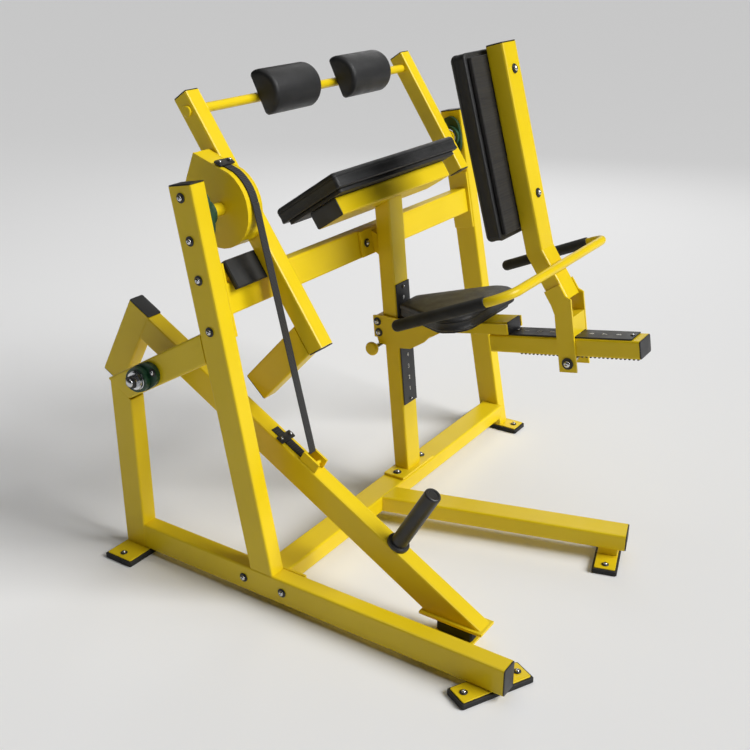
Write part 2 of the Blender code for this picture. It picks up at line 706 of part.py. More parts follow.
def build_belt_span():
    """Straight run of the belt between the cam and the lever."""
    bm = bmesh.new()
    length = 0.655
    outward = Vector((0.0, SPAN_DOWN.z, -SPAN_DOWN.y))
    middle = SPAN_TOP + SPAN_DOWN * (length / 2 + GAP) + outward * BELT_THICK / 2
    add_box(bm, at(LEVER_X, middle), (BELT_WIDE, BELT_THICK, length), up=SPAN_DOWN)
    mesh_node("belt_span", "rubber", "belt", bm)


# ---------------------------------------------------------------- seat carriage
def beam_point(along, up=0.0):
    """A point of the seat carriage's sloping beam, measured from the beam's front end."""
    return BEAM_START + BEAM * along + BEAM_UP * up


ARM_DEEP = 0.038
ARM_MID = NARROW / 2 + GAP + ARM_DEEP / 2
ARM_ROOF = ARM_MID + ARM_DEEP / 2


def build_carriage():
    """Cheeks either side of the post, the arm under the seat and the long back beam."""
    cheek = [(0.106, 0.590), (0.072, 0.596), (-0.010, 0.5955), (-0.334, 0.6515),
             (-0.339, 0.6220), (-0.280, 0.6130), (-0.200, 0.598), (-0.130, 0.586),
             (-0.095, 0.566), (-0.072, 0.541), (-0.048, 0.525), (-0.026, 0.511), (0.007, 0.506),
             (0.060, 0.505), (0.084, 0.507), (0.097, 0.545)]
    block = POST_FOOT + POST * 0.462 + across(POST) * 0.0475
    box_node("carriage_cheeks", "yellow", "seat", block, (0.082, 0.021, 0.062), up=POST)
    for sign in (-1, 1):
        low, high = sorted((sign * 0.0403, sign * 0.0466))
        bm = bmesh.new()
        add_side_plate(bm, [cheek], low, high)
        mesh_node("carriage_cheeks", "yellow", "seat", bm)
    tube_node("back_beam", "yellow", "seat", beam_point(0), beam_point(BEAM_LENGTH), DEEP, NARROW)
    tube_node("seat_arm", "yellow", "seat", beam_point(-0.262, ARM_MID),
              beam_point(0.058, ARM_MID), DEEP, ARM_DEEP)
    roller = bmesh.new()
    front = POST_FOOT + POST * 0.428 - across(POST) * (NARROW / 2 + 2 * GAP + 0.004 + 0.0103)
    add_rod(roller, front - X * 0.040, front + X * 0.040, 0.010, 16)
    mesh_node("carriage_roller", "steel", "seat", roller)
    box_node("beam_number_plate", "black", "seat", beam_point(0.238, NARROW / 2 + GAP + 0.002),
             (0.066, 0.350, 0.004), up=BEAM_UP, bevel=0.001)
    build_rack("beam_rack", "seat", beam_point(0.075, -NARROW / 2 - GAP), BEAM, -BEAM_UP, 29)


def rounded(corners, steps=4):
    """Round each (u, v, radius) corner of a convex outline with an arc."""
    loop = []
    count = len(corners)
    for index, (u, v, radius) in enumerate(corners):
        here = Vector((u, v))
        back = (Vector(corners[index - 1][:2]) - here).normalized()
        ahead = (Vector(corners[(index + 1) % count][:2]) - here).normalized()
        half = back.angle(ahead) / 2
        middle = (back + ahead).normalized()
        centre = here + middle * (radius / sin(half))
        first = here + back * radius * cos(half) / sin(half) - centre
        last = here + ahead * radius * cos(half) / sin(half) - centre
        for step in range(steps + 1):
            mix = first.lerp(last, step / steps).normalized() * radius
            loop.append(tuple(centre + mix))
    return loop


def seat_loop(inset):
    """Seat seen from above: narrow by the post, wide and rounded at the hips."""
    front, rear = 0.285 - inset, inset
    return rounded([(front, -0.045 + inset, 0.012), (rear, -0.222 + inset, 0.060),
                    (rear, 0.222 - inset, 0.060), (front, 0.045 - inset, 0.012)], 6)


def add_seat_slab(bm, inset, low, high):
    """A slab of the seat's outline between two heights above the beam's centre line."""
    matrix = Matrix((-BEAM, -X, BEAM_UP)).transposed().to_4x4()
    matrix.translation = beam_point(0.001, (low + high) / 2)
    add_plate(bm, [seat_loop(inset)], high - low, matrix)


def build_seat():
    """Seat board and cushion."""
    board = bmesh.new()
    add_seat_slab(board, 0.012, ARM_ROOF + GAP, ARM_ROOF + 0.010)
    mesh_node("seat_board", "wood", "seat", board)
    pad = bmesh.new()
    add_seat_slab(pad, 0.0, ARM_ROOF + 0.0103, 0.1197)
    mesh_node("seat_pad", "vinyl", "seat", pad)


def build_latch():
    """Spring latch: a bar behind the post with a pawl for the rack and a round knob."""
    middle = Vector((0.0, 0.0920, 0.4945))
    bm = bmesh.new()
    add_rod(bm, middle - X * 0.0580, middle + X * 0.0400, 0.006, 12)
    mesh_node("latch_bar", "steel", "latch", bm)
    face = POST_FOOT + across(POST) * (NARROW / 2 + 3 * GAP + 0.010)
    height = (middle - face).dot(POST)
    depth = (middle - face).dot(across(POST)) - 0.006 + WELD
    pawl = face + POST * height + across(POST) * depth / 2
    box_node("latch_bar", "steel", "latch", pawl, (0.028, depth, 0.010), up=POST)
    knob = bmesh.new()
    start = middle - X * 0.0583
    profile = [(0.0, 0.0), (0.019, 0.0), (0.021, 0.002), (0.021, 0.020), (0.019, 0.022),
               (0.0, 0.022)]
    add_turned(knob, start, -X, profile, 20)
    mesh_node("latch_knob", "yellow", "latch", knob)


# ---------------------------------------------------------------- back carriage
CLEVIS_ALONG = 0.2325     # place of the clevis along the back beam


def build_back():
    """Bent post on a clevis that rides the back beam."""
    foot_end = BACK_KNEE - BACK_FOOT * 0.150
    top = BACK_KNEE + BACK * 0.5365
    split = (BACK + BACK_FOOT).normalized()
    bm = bmesh.new()
    add_tube(bm, BACK_KNEE, top, DEEP, NARROW,
             start_plane=(BACK_KNEE - split * WELD, split))
    mesh_node("back_post", "yellow", "back", bm)
    tube_node("back_post", "yellow", "back", foot_end, BACK_KNEE, DEEP, NARROW,
              end_plane=(BACK_KNEE, split))
    rear = foot_end - across(BACK_FOOT) * NARROW / 2
    front = foot_end + across(BACK_FOOT) * NARROW / 2
    low_front = beam_point(CLEVIS_ALONG - 0.025, -0.069)
    low_rear = beam_point(CLEVIS_ALONG + 0.025, -0.069)
    high_rear = beam_point(CLEVIS_ALONG + 0.025, 0.134)
    mid_front = beam_point(CLEVIS_ALONG - 0.025, 0.092)
    corners = [low_front, low_rear, high_rear, rear + BACK_FOOT * 0.010,
               rear + BACK_FOOT * 0.045, front + BACK_FOOT * 0.045, front + BACK_FOOT * 0.004,
               mid_front]
    loop = [(point.y, point.z) for point in corners]
    low = NARROW / 2 + 2 * GAP + 0.0045
    block_height = 0.054
    box_node("clevis", "yellow", "back", beam_point(CLEVIS_ALONG, low + block_height / 2),
             (0.0772, 0.048, block_height), up=BEAM_UP)
    for sign in (-1, 1):
        low, high = sorted((sign * 0.0380, sign * 0.0443))
        plate = bmesh.new()
        add_side_plate(plate, [loop], low, high)
        mesh_node("clevis", "yellow", "back", plate)
    roller = bmesh.new()
    centre = beam_point(CLEVIS_ALONG + 0.001, -0.0438)
    add_rod(roller, centre - X * 0.0377, centre + X * 0.0377, 0.0085, 16)
    mesh_node("clevis_roller", "steel", "back", roller)


def build_back_pad():
    """Backrest cushion on its board, ahead of the post."""
    face = BACK_KNEE + across(BACK) * (NARROW / 2 + GAP)
    middle = 0.0565 + 0.477 / 2
    box_node("back_pad_board", "wood", "back", face + BACK * middle + across(BACK) * 0.006,
             (0.235, 0.012, 0.450), up=BACK, bevel=0.002)
    box_node("back_pad", "vinyl", "back",
             face + BACK * middle + across(BACK) * (0.012 + GAP + 0.025),
             (0.263, 0.050, 0.477), up=BACK, bevel=0.008)


HANDLE_HALF = 0.315
HANDLE_DROP = 24.0


def build_handles():
    """U-shaped handle bar behind the post, with a rubber grip on each end."""
    rear = BACK_KNEE - BACK_FOOT * 0.062 - across(BACK_FOOT) * (NARROW / 2 + GAP + 0.0128)
    slope = Vector((0.0, cos(radians(HANDLE_DROP)), -sin(radians(HANDLE_DROP))))
    turn = 0.060
    arm = 0.350
    path = []
    for sign in (-1, 1):
        corner = rear + X * sign * HANDLE_HALF
        pieces = [corner + slope * arm]
        for step in range(7):
            angle = pi / 2 * step / 6
            pieces.append(corner - X * sign * turn * (1 - cos(angle))
                          + slope * turn * (1 - sin(angle)))
        path += pieces if sign < 0 else pieces[::-1]
    curve = bpy.data.curves.new("handle_bar", "CURVE")
    curve.dimensions = "3D"
    curve.bevel_depth = 0.0125
    curve.bevel_resolution = 2
    curve.use_fill_caps = True
    spline = curve.splines.new("POLY")
    spline.points.add(len(path) - 1)
    for point, place in zip(spline.points, path):
        point.co = (*place, 1.0)
    node("handle_bar", "yellow", "back", curve)
    for name, sign in (("handle_grip_left", -1), ("handle_grip_right", 1)):
        grip = bmesh.new()
        corner = rear + X * sign * HANDLE_HALF
        profile = [(0.0, 0.2855), (0.0128, 0.2855), (0.0128, 0.0), (0.016, 0.001),
                   (0.016, 0.288), (0.012, 0.293), (0.0, 0.294)]
        add_turned(grip, corner + slope * 0.0652, slope, profile, 16)
        mesh_node(name, "rubber", "back", grip)


# ---------------------------------------------------------------- assembly
def build():
    """Build every piece."""
    add_body("frame", Vector())
    add_body("swing", SWING_PIVOT)
    add_body("lever", LEVER_PIVOT)
    add_body("belt", SPAN_TOP)
    add_body("seat", POST_FOOT)
    add_body("latch", POST_FOOT)
    add_body("back", BEAM_START)
    build_side_frames()
    build_cross_members()
    build_centre_post()
    build_arm_pad()
    build_feet()
    build_bearings()
    build_stops()
    build_seat_scale()
    build_cam()
    build_forearm_pads(build_swing())
    build_lever()
    build_belt_span()
    build_carriage()
    build_seat()
    build_latch()
    build_back()
    build_back_pad()
    build_handles()


build()
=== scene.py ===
"""Looks of a seated, plate-loaded triceps extension machine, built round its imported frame.

Lengths are metres. Side-plane places are measured from the foot of the centre post: X across,
Y ahead of the user, Z up from the floor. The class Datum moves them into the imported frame.
"""

import json
import logging
from dataclasses import dataclass
from enum import Enum
from math import cos, radians, sin

import bmesh
import bpy
import numpy as np
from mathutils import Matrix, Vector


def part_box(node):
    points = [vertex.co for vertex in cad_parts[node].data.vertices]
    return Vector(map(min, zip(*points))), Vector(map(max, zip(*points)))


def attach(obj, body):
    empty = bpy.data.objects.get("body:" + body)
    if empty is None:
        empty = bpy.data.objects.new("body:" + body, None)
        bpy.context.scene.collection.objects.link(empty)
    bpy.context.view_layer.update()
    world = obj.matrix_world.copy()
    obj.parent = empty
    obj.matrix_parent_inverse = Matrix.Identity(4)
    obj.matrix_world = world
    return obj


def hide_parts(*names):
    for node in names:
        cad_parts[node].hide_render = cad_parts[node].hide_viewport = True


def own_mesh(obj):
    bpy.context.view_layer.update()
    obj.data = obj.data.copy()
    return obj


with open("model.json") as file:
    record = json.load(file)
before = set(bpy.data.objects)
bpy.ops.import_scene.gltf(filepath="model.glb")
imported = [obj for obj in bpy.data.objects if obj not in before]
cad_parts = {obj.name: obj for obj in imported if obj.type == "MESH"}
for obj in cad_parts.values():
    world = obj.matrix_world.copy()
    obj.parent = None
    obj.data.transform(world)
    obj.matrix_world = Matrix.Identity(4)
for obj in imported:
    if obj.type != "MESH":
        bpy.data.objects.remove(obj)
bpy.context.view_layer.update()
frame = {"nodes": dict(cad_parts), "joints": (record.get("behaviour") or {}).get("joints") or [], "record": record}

LOG = logging.getLogger("triceps_extension")
Array = np.ndarray
X = np.array((1.0, 0.0, 0.0))
Y = np.array((0.0, 1.0, 0.0))
Z = np.array((0.0, 0.0, 1.0))
GAP = 0.0003


# ---------------------------------------------------------------- directions and places
def unit(vector: Array) -> Array:
    """The vector at length one."""
    return vector / np.linalg.norm(vector)


def lean(degrees: float) -> Array:
    """Direction in the side plane, so many degrees from the vertical toward +Y."""
    return np.array((0.0, sin(radians(degrees)), cos(radians(degrees))))


def across(direction: Array) -> Array:
    """The side-plane direction a quarter turn from this one, toward +Y for an upright one."""
    return np.array((0.0, direction[2], -direction[1]))


@dataclass(frozen=True)
class Datum:
    """Where the centre post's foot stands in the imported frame."""

    swing_y: float = 0.1924
    swing_z: float = 1.0175
    upright_lean: float = 10.78
    post_lean: float = 5.37
    swing_lean: float = 34.0
    back_lean: float = 15.7
    back_foot_lean: float = 34.6
    lever_drop: float = 29.8
    strut_rise: float = 30.0
    pad_slope: float = 33.5
    beam_rise: float = 9.7
    rail_yaw: float = 15.7
    high_beam: tuple = (0.0, 0.151, 0.808)
    post_foot: tuple = (0.0, 0.0049, 0.09765)
    arm_tube: tuple = (0.0, 0.0955, 0.9509)
    beam_start: tuple = (0.0, -0.2828, 0.582)
    back_knee: tuple = (0.0, -0.3985, 0.8645)
    lever_hinge: tuple = (-0.5646, 0.3818, 0.5676)
    narrow: float = 0.050
    deep: float = 0.075
    grip_reach: float = 0.2587

    @property
    def shift(self) -> Array:
        """Step from side-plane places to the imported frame, read from the swing's hinge."""
        hinge = next(joint for joint in frame["joints"] if joint["name"] == "swing")
        return np.array(hinge["pos_m"]) - np.array((0.0, self.swing_y, self.swing_z))

    def at(self, x: float, y: float, z: float) -> Array:
        """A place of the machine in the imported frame."""
        return np.array((x, y, z)) + self.shift

    @property
    def swing_hinge(self) -> Array:
        """The swing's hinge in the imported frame."""
        return self.at(0.0, self.swing_y, self.swing_z)

    @property
    def grip(self) -> Array:
        """Middle of the roller bar."""
        return self.swing_hinge + self.swing * self.grip_reach

    @property
    def upright(self) -> Array:
        """Direction up the two uprights."""
        return lean(self.upright_lean)

    @property
    def post(self) -> Array:
        """Direction up the centre post."""
        return lean(self.post_lean)

    @property
    def swing(self) -> Array:
        """Direction up the swing's posts."""
        return lean(self.swing_lean)

    @property
    def back(self) -> Array:
        """Direction up the backrest."""
        return lean(self.back_lean)

    @property
    def lever(self) -> Array:
        """Direction from the lever's hinge toward its front end."""
        return np.array((0.0, -cos(radians(self.lever_drop)), -sin(radians(self.lever_drop))))

    @property
    def strut(self) -> Array:
        """Direction up the strut that carries the lever's bearings."""
        return np.array((0.0, -cos(radians(self.strut_rise)), sin(radians(self.strut_rise))))

    @property
    def beam(self) -> Array:
        """Direction along the back beam, toward the user's back."""
        return np.array((0.0, -cos(radians(self.beam_rise)), sin(radians(self.beam_rise))))

    @property
    def pad(self) -> Array:
        """Direction down the slope of the arm pad."""
        return np.array((0.0, cos(radians(self.pad_slope)), -sin(radians(self.pad_slope))))

    @property
    def rail(self) -> Array:
        """Direction along the splayed centre rail."""
        return np.array((sin(radians(self.rail_yaw)), -cos(radians(self.rail_yaw)), 0.0))


# ---------------------------------------------------------------- surfaces on a grid
def rounded_outline(half_u: float, half_v: float, radius: float, steps: int = 6) -> Array:
    """Outline of a rectangle with round corners.

    Each corner is a quarter circle of the radius about (half - radius), walked anticlockwise.

    Args:
        half_u: Half of the width.
        half_v: Half of the depth.
        radius: Corner radius.
        steps: Points in each quarter, less one.

    Returns:
        Points (n, 2).
    """
    radius = min(radius, half_u * 0.999, half_v * 0.999)
    quarter = np.linspace(0.0, np.pi / 2, steps + 1)
    angle = np.concatenate([quarter + turn * np.pi / 2 for turn in range(4)])
    sign_u = np.repeat((1.0, -1.0, -1.0, 1.0), steps + 1)
    sign_v = np.repeat((1.0, 1.0, -1.0, -1.0), steps + 1)
    u = sign_u * (half_u - radius) + radius * np.cos(angle)
    v = sign_v * (half_v - radius) + radius * np.sin(angle)
    return np.stack((u, v), axis=1)


def stacked(rows: list[Array], heights: Array, origin: Array, side: Array, up: Array) -> Array:
    """Outlines stacked along a direction: origin + u side + v (up x side) + height up.

    Args:
        rows: Outlines (n, 2), one for each height.
        heights: Height of each outline.
        origin: Middle of the base.
        side: Direction of u.
        up: Direction of the stack.

    Returns:
        Grid (rows, n, 3).
    """
    loops = np.stack(rows)
    third = np.cross(up, side)
    lift = np.asarray(heights)[:, None, None] * up
    return origin + loops[..., :1] * side + loops[..., 1:] * third + lift


def slab(origin: Array, size: tuple, side: Array, up: Array, corner: float, edge: float,
         crown: float = 0.0) -> Array:
    """A plate or cap: each outline is inset by the edge radius times (1 - cos t), and rises
    by the edge radius times sin t; above that the top swells by crown over the inset's sine.

    Args:
        origin: Middle of the underside.
        size: Width along side, depth, and thickness along up.
        side: Direction of the width.
        up: Direction of the thickness.
        corner: Corner radius seen from above.
        edge: Radius of the top edge.
        crown: Swell of the middle above the edge.

    Returns:
        Grid (rows, n, 3).
    """
    half_u, half_v, thick = size[0] / 2, size[1] / 2, size[2]
    turn = np.linspace(0.0, np.pi / 2, 5)
    insets = np.concatenate(((min(edge, 0.001), 0.0), edge * (1 - np.cos(turn))))
    heights = np.concatenate(((0.0, min(edge, 0.001)), thick - edge + edge * np.sin(turn)))
    if crown:
        share = np.linspace(0.15, 1.0, 7)
        room = min(half_u, half_v) - edge - 0.001
        insets = np.concatenate((insets, edge + share * room))
        heights = np.concatenate((heights, thick + crown * np.sin(share * np.pi / 2)))
    rows = [rounded_outline(half_u - i, half_v - i, max(corner - i, 0.0006)) for i in insets]
    return stacked(rows, heights, origin, side, up)


def revolved(origin: Array, axis: Array, profile: Array, sides: int = 32) -> Array:
    """A turned shape: each (radius, height) of the profile runs once round the axis.

    Args:
        origin: Where height is zero.
        axis: Direction of the height.
        profile: Points (n, 2) of radius and height.
        sides: Points round the axis.

    Returns:
        Grid (n, sides, 3).
    """
    axis = unit(axis)
    first = unit(np.cross(axis, X if abs(axis[0]) < 0.9 else Y))
    second = np.cross(axis, first)
    angle = np.linspace(0.0, 2 * np.pi, sides, endpoint=False)
    ring = np.cos(angle)[:, None] * first + np.sin(angle)[:, None] * second
    profile = np.asarray(profile, float)
    return origin + profile[:, :1, None] * ring[None] + profile[:, 1:, None] * axis


def swept(path: Array, radius: Array, normal: Array, sides: int = 24) -> Array:
    """A round bar: each point of the path carries a ring square to the path.

    The ring lies in the plane of normal and normal x tangent.

    Args:
        path: Centre line (n, 3), all of it square to normal.
        radius: One radius, or one for each point.
        normal: Direction square to the whole path.
        sides: Points round the bar.

    Returns:
        Grid (n, sides, 3).
    """
    tangent = np.gradient(path, axis=0)
    tangent /= np.linalg.norm(tangent, axis=1)[:, None]
    third = np.cross(normal, tangent)
    angle = np.linspace(0.0, 2 * np.pi, sides, endpoint=False)
    radius = np.broadcast_to(radius, len(path))[:, None, None]
    ring = np.cos(angle)[None, :, None] * normal + np.sin(angle)[None, :, None] * third[:, None]
    return path[:, None] + radius * ring


class Shell:
    """Closed surfaces gathered into one mesh."""

    def __init__(self) -> None:
        """Start empty."""
        self.points: list[Array] = []
        self.faces: list[list[int]] = []
        self.count = 0

    def add(self, grid: Array) -> "Shell":
        """Add a grid whose rows are closed loops; the first and last rows are filled.

        Args:
            grid: Points (rows, columns, 3).

        Returns:
            This shell.
        """
        rows, columns = grid.shape[:2]
        index = np.arange(rows * columns).reshape(rows, columns) + self.count
        ahead = np.roll(index, -1, axis=1)
        quads = np.stack((index[:-1], ahead[:-1], ahead[1:], index[1:]), axis=-1)
        self.faces += quads.reshape(-1, 4).tolist()
        self.faces += [index[0][::-1].tolist(), index[-1].tolist()]
        self.points.append(grid.reshape(-1, 3))
        self.count += rows * columns
        return self

    def build(self, name: str, material: bpy.types.Material, slot: str, body: str,
              replaces: tuple = (), sharp: float = 32.0) -> bpy.types.Object:
        """Make the piece and hang it on its body.

        Args:
            name: Name of the piece.
            material: Its material.
            slot: The record's material slot; not used.
            body: The body that it rides on.
            replaces: CAD nodes that it stands for.
            sharp: Edges that turn more than these degrees stay sharp.

        Returns:
            The object.
        """
        mesh = bpy.data.meshes.new(name)
        mesh.from_pydata(np.concatenate(self.points).tolist(), [], self.faces)
        shell = bmesh.new()
        shell.from_mesh(mesh)
        bmesh.ops.remove_doubles(shell, verts=shell.verts, dist=1e-6)
        bmesh.ops.recalc_face_normals(shell, faces=shell.faces)
        shell.to_mesh(mesh)
        shell.free()
        mesh.polygons.foreach_set("use_smooth", [True] * len(mesh.polygons))
        mesh.set_sharp_from_angle(angle=radians(sharp))
        piece = bpy.data.objects.new(name, mesh)
        bpy.context.scene.collection.objects.link(piece)
        mesh.materials.append(material)
        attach(piece, body)
        if replaces:
            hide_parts(*replaces)
        LOG.info("%s: %d faces on %s", name, len(mesh.polygons), body)
        return piece


# ---------------------------------------------------------------- shared shader groups
def new_group(name: str, inputs: dict, outputs: dict) -> bpy.types.ShaderNodeTree:
    """An empty shader group with float, vector or colour sockets.

    Args:
        name: Name of the group.
        inputs: Socket names, each with "Float", "Vector" or "Color".
        outputs: The same for what it puts out.

    Returns:
        The group, with its Group Input and Group Output nodes.
    """
    group = bpy.data.node_groups.new(name, "ShaderNodeTree")
    for sockets, way in ((inputs, "INPUT"), (outputs, "OUTPUT")):
        for label, kind in sockets.items():
            group.interface.new_socket(label, in_out=way, socket_type=f"NodeSocket{kind}")
    group.nodes.new("NodeGroupInput").name = "in"
    group.nodes.new("NodeGroupOutput").name = "out"
    return group


def mottle_group() -> bpy.types.ShaderNodeTree:
    """Slow uneven tone: a soft noise run from low to high."""
    group = new_group("uneven_tone", {"Vector": "Vector", "Scale": "Float", "Low": "Float",
                                      "High": "Float"}, {"Value": "Float"})
    nodes, links = group.nodes, group.links
    noise = nodes.new("ShaderNodeTexNoise")
    noise.inputs["Detail"].default_value = 4.0
    span = nodes.new("ShaderNodeMapRange")
    span.inputs["From Min"].default_value = 0.3
    span.inputs["From Max"].default_value = 0.7
    links.new(nodes["in"].outputs["Vector"], noise.inputs["Vector"])
    links.new(nodes["in"].outputs["Scale"], noise.inputs["Scale"])
    links.new(noise.outputs["Fac"], span.inputs["Value"])
    links.new(nodes["in"].outputs["Low"], span.inputs["To Min"])
    links.new(nodes["in"].outputs["High"], span.inputs["To Max"])
    links.new(span.outputs["Result"], nodes["out"].inputs["Value"])
    return group


def relief_group(name: str, cells: bool) -> bpy.types.ShaderNodeTree:
    """Fine relief as a normal: noise bumps, or the pebbles between a Voronoi's cell edges.

    Args:
        name: Name of the group.
        cells: True for pebbles.

    Returns:
        The group.
    """
    group = new_group(name, {"Vector": "Vector", "Scale": "Float", "Strength": "Float",
                             "Depth": "Float"}, {"Normal": "Vector", "Height": "Float"})
    nodes, links = group.nodes, group.links
    if cells:
        pattern = nodes.new("ShaderNodeTexVoronoi")
        pattern.feature = "DISTANCE_TO_EDGE"
        height = pattern.outputs["Distance"]
    else:
        pattern = nodes.new("ShaderNodeTexNoise")
        pattern.inputs["Detail"].default_value = 3.0
        height = pattern.outputs["Fac"]
    level = nodes.new("ShaderNodeMapRange")
    level.inputs["From Max"].default_value = 0.28 if cells else 1.0
    bump = nodes.new("ShaderNodeBump")
    links.new(nodes["in"].outputs["Vector"], pattern.inputs["Vector"])
    links.new(nodes["in"].outputs["Scale"], pattern.inputs["Scale"])
    links.new(height, level.inputs["Value"])
    links.new(level.outputs["Result"], bump.inputs["Height"])
    links.new(nodes["in"].outputs["Strength"], bump.inputs["Strength"])
    links.new(nodes["in"].outputs["Depth"], bump.inputs["Distance"])
    links.new(bump.outputs["Normal"], nodes["out"].inputs["Normal"])
    links.new(level.outputs["Result"], nodes["out"].inputs["Height"])
    return group


def dust_and_top_light_group() -> bpy.types.ShaderNodeTree:
    """Paler colour on faces that look up, from the normal's Z broken by a patchy noise: settled dust, and painted
    top light.
    """
    group = new_group("dust_and_painted_top_light", {"Vector": "Vector", "Amount": "Float"}, {"Mask": "Float"})
    nodes, links = group.nodes, group.links
    noise = nodes.new("ShaderNodeTexNoise")
    noise.inputs["Scale"].default_value = 14.0
    noise.inputs["Detail"].default_value = 6.0
    facing = nodes.new("ShaderNodeNewGeometry")
    split = nodes.new("ShaderNodeSeparateXYZ")
    up = nodes.new("ShaderNodeMapRange")
    up.inputs["From Min"].default_value = 0.55
    both = nodes.new("ShaderNodeMath")
    both.operation = "MULTIPLY"
    scaled = nodes.new("ShaderNodeMath")
    scaled.operation = "MULTIPLY"
    links.new(nodes["in"].outputs["Vector"], noise.inputs["Vector"])
    links.new(facing.outputs["Normal"], split.inputs["Vector"])
    links.new(split.outputs["Z"], up.inputs["Value"])
    links.new(up.outputs["Result"], both.inputs[0])
    links.new(noise.outputs["Fac"], both.inputs[1])
    links.new(both.outputs["Value"], scaled.inputs[0])
    links.new(nodes["in"].outputs["Amount"], scaled.inputs[1])
    links.new(scaled.outputs["Value"], nodes["out"].inputs["Mask"])
    return group


class Relief(Enum):
    """The relief that a finish has."""

    ORANGE_PEEL = "orange_peel"
    PEBBLE = "pebbled_grain"


GROUPS = {
    "tone": mottle_group(),
    Relief.ORANGE_PEEL: relief_group(Relief.ORANGE_PEEL.value, False),
    Relief.PEBBLE: relief_group(Relief.PEBBLE.value, True),
    "dust_and_top_light": dust_and_top_light_group(),
}


@dataclass(frozen=True)
class Finish:
    """One surface finish, from which a procedural material is made."""

    name: str
    dark: tuple
    light: tuple
    rough: tuple
    tone_scale: float
    relief: Relief
    relief_scale: float
    strength: float
    depth: float
    metallic: float = 0.0
    coat: float = 0.0
    specular: float = 0.5
    sheen: float = 0.0
    # Amount and tint of the paling of faces that look up: settled dust, and painted top light.
    dust_and_top_light: float = 0.0
    dust_and_top_light_tint: tuple = (0.42, 0.40, 0.37)
    stretch: tuple = (1.0, 1.0, 1.0)

    def place(self, tree: bpy.types.ShaderNodeTree, key: object,
              vector: bpy.types.NodeSocket, **values: float) -> bpy.types.Node:
        """Put a shared group in the material and set its values.

        Args:
            tree: The material's tree.
            key: Which of GROUPS.
            vector: The coordinates that it reads.
            **values: Its other inputs.

        Returns:
            The group node.
        """
        node = tree.nodes.new("ShaderNodeGroup")
        node.node_tree = GROUPS[key]
        tree.links.new(vector, node.inputs["Vector"])
        for label, value in values.items():
            node.inputs[label].default_value = value
        return node

    def material(self) -> bpy.types.Material:
        """Make the material: uneven tone mixes dark with light, settled dust and painted top light pale what looks
        up, roughness follows the tone, and the relief gives the normal.

        Returns:
            The material.
        """
        made = bpy.data.materials.new(self.name)
        made.use_nodes = True
        tree = made.node_tree
        shader = tree.nodes["Principled BSDF"]
        shader.inputs["Metallic"].default_value = self.metallic
        shader.inputs["Coat Weight"].default_value = self.coat
        shader.inputs["Coat Roughness"].default_value = 0.12
        shader.inputs["Specular IOR Level"].default_value = self.specular
        shader.inputs["Sheen Weight"].default_value = self.sheen
        place = tree.nodes.new("ShaderNodeTexCoord")
        mapping = tree.nodes.new("ShaderNodeMapping")
        mapping.inputs["Scale"].default_value = self.stretch
        tree.links.new(place.outputs["Object"], mapping.inputs["Vector"])
        vector = mapping.outputs["Vector"]
        tone = self.place(tree, "tone", vector, Scale=self.tone_scale, Low=0.0, High=1.0)
        mix = tree.nodes.new("ShaderNodeMix")
        mix.data_type = "RGBA"
        mix.inputs["A"].default_value = (*self.dark, 1.0)
        mix.inputs["B"].default_value = (*self.light, 1.0)
        tree.links.new(tone.outputs["Value"], mix.inputs["Factor"])
        colour = mix.outputs["Result"]
        # Pale the faces that look up toward the tint: settled dust, and painted light on the lit tops.
        if self.dust_and_top_light:
            dust_and_top_light = self.place(tree, "dust_and_top_light", vector, Amount=self.dust_and_top_light)
            pale = tree.nodes.new("ShaderNodeMix")
            pale.data_type = "RGBA"
            pale.inputs["B"].default_value = (*self.dust_and_top_light_tint, 1.0)
            tree.links.new(dust_and_top_light.outputs["Mask"], pale.inputs["Factor"])
            tree.links.new(colour, pale.inputs["A"])
            colour = pale.outputs["Result"]
        tree.links.new(colour, shader.inputs["Base Color"])
        gloss = self.place(tree, "tone", vector, Scale=self.tone_scale * 3.1, Low=self.rough[0],
                           High=self.rough[1])
        tree.links.new(gloss.outputs["Value"], shader.inputs["Roughness"])
        relief = self.place(tree, self.relief, vector, Scale=self.relief_scale,
                            Strength=self.strength, Depth=self.depth)
        tree.links.new(relief.outputs["Normal"], shader.inputs["Normal"])
        return made


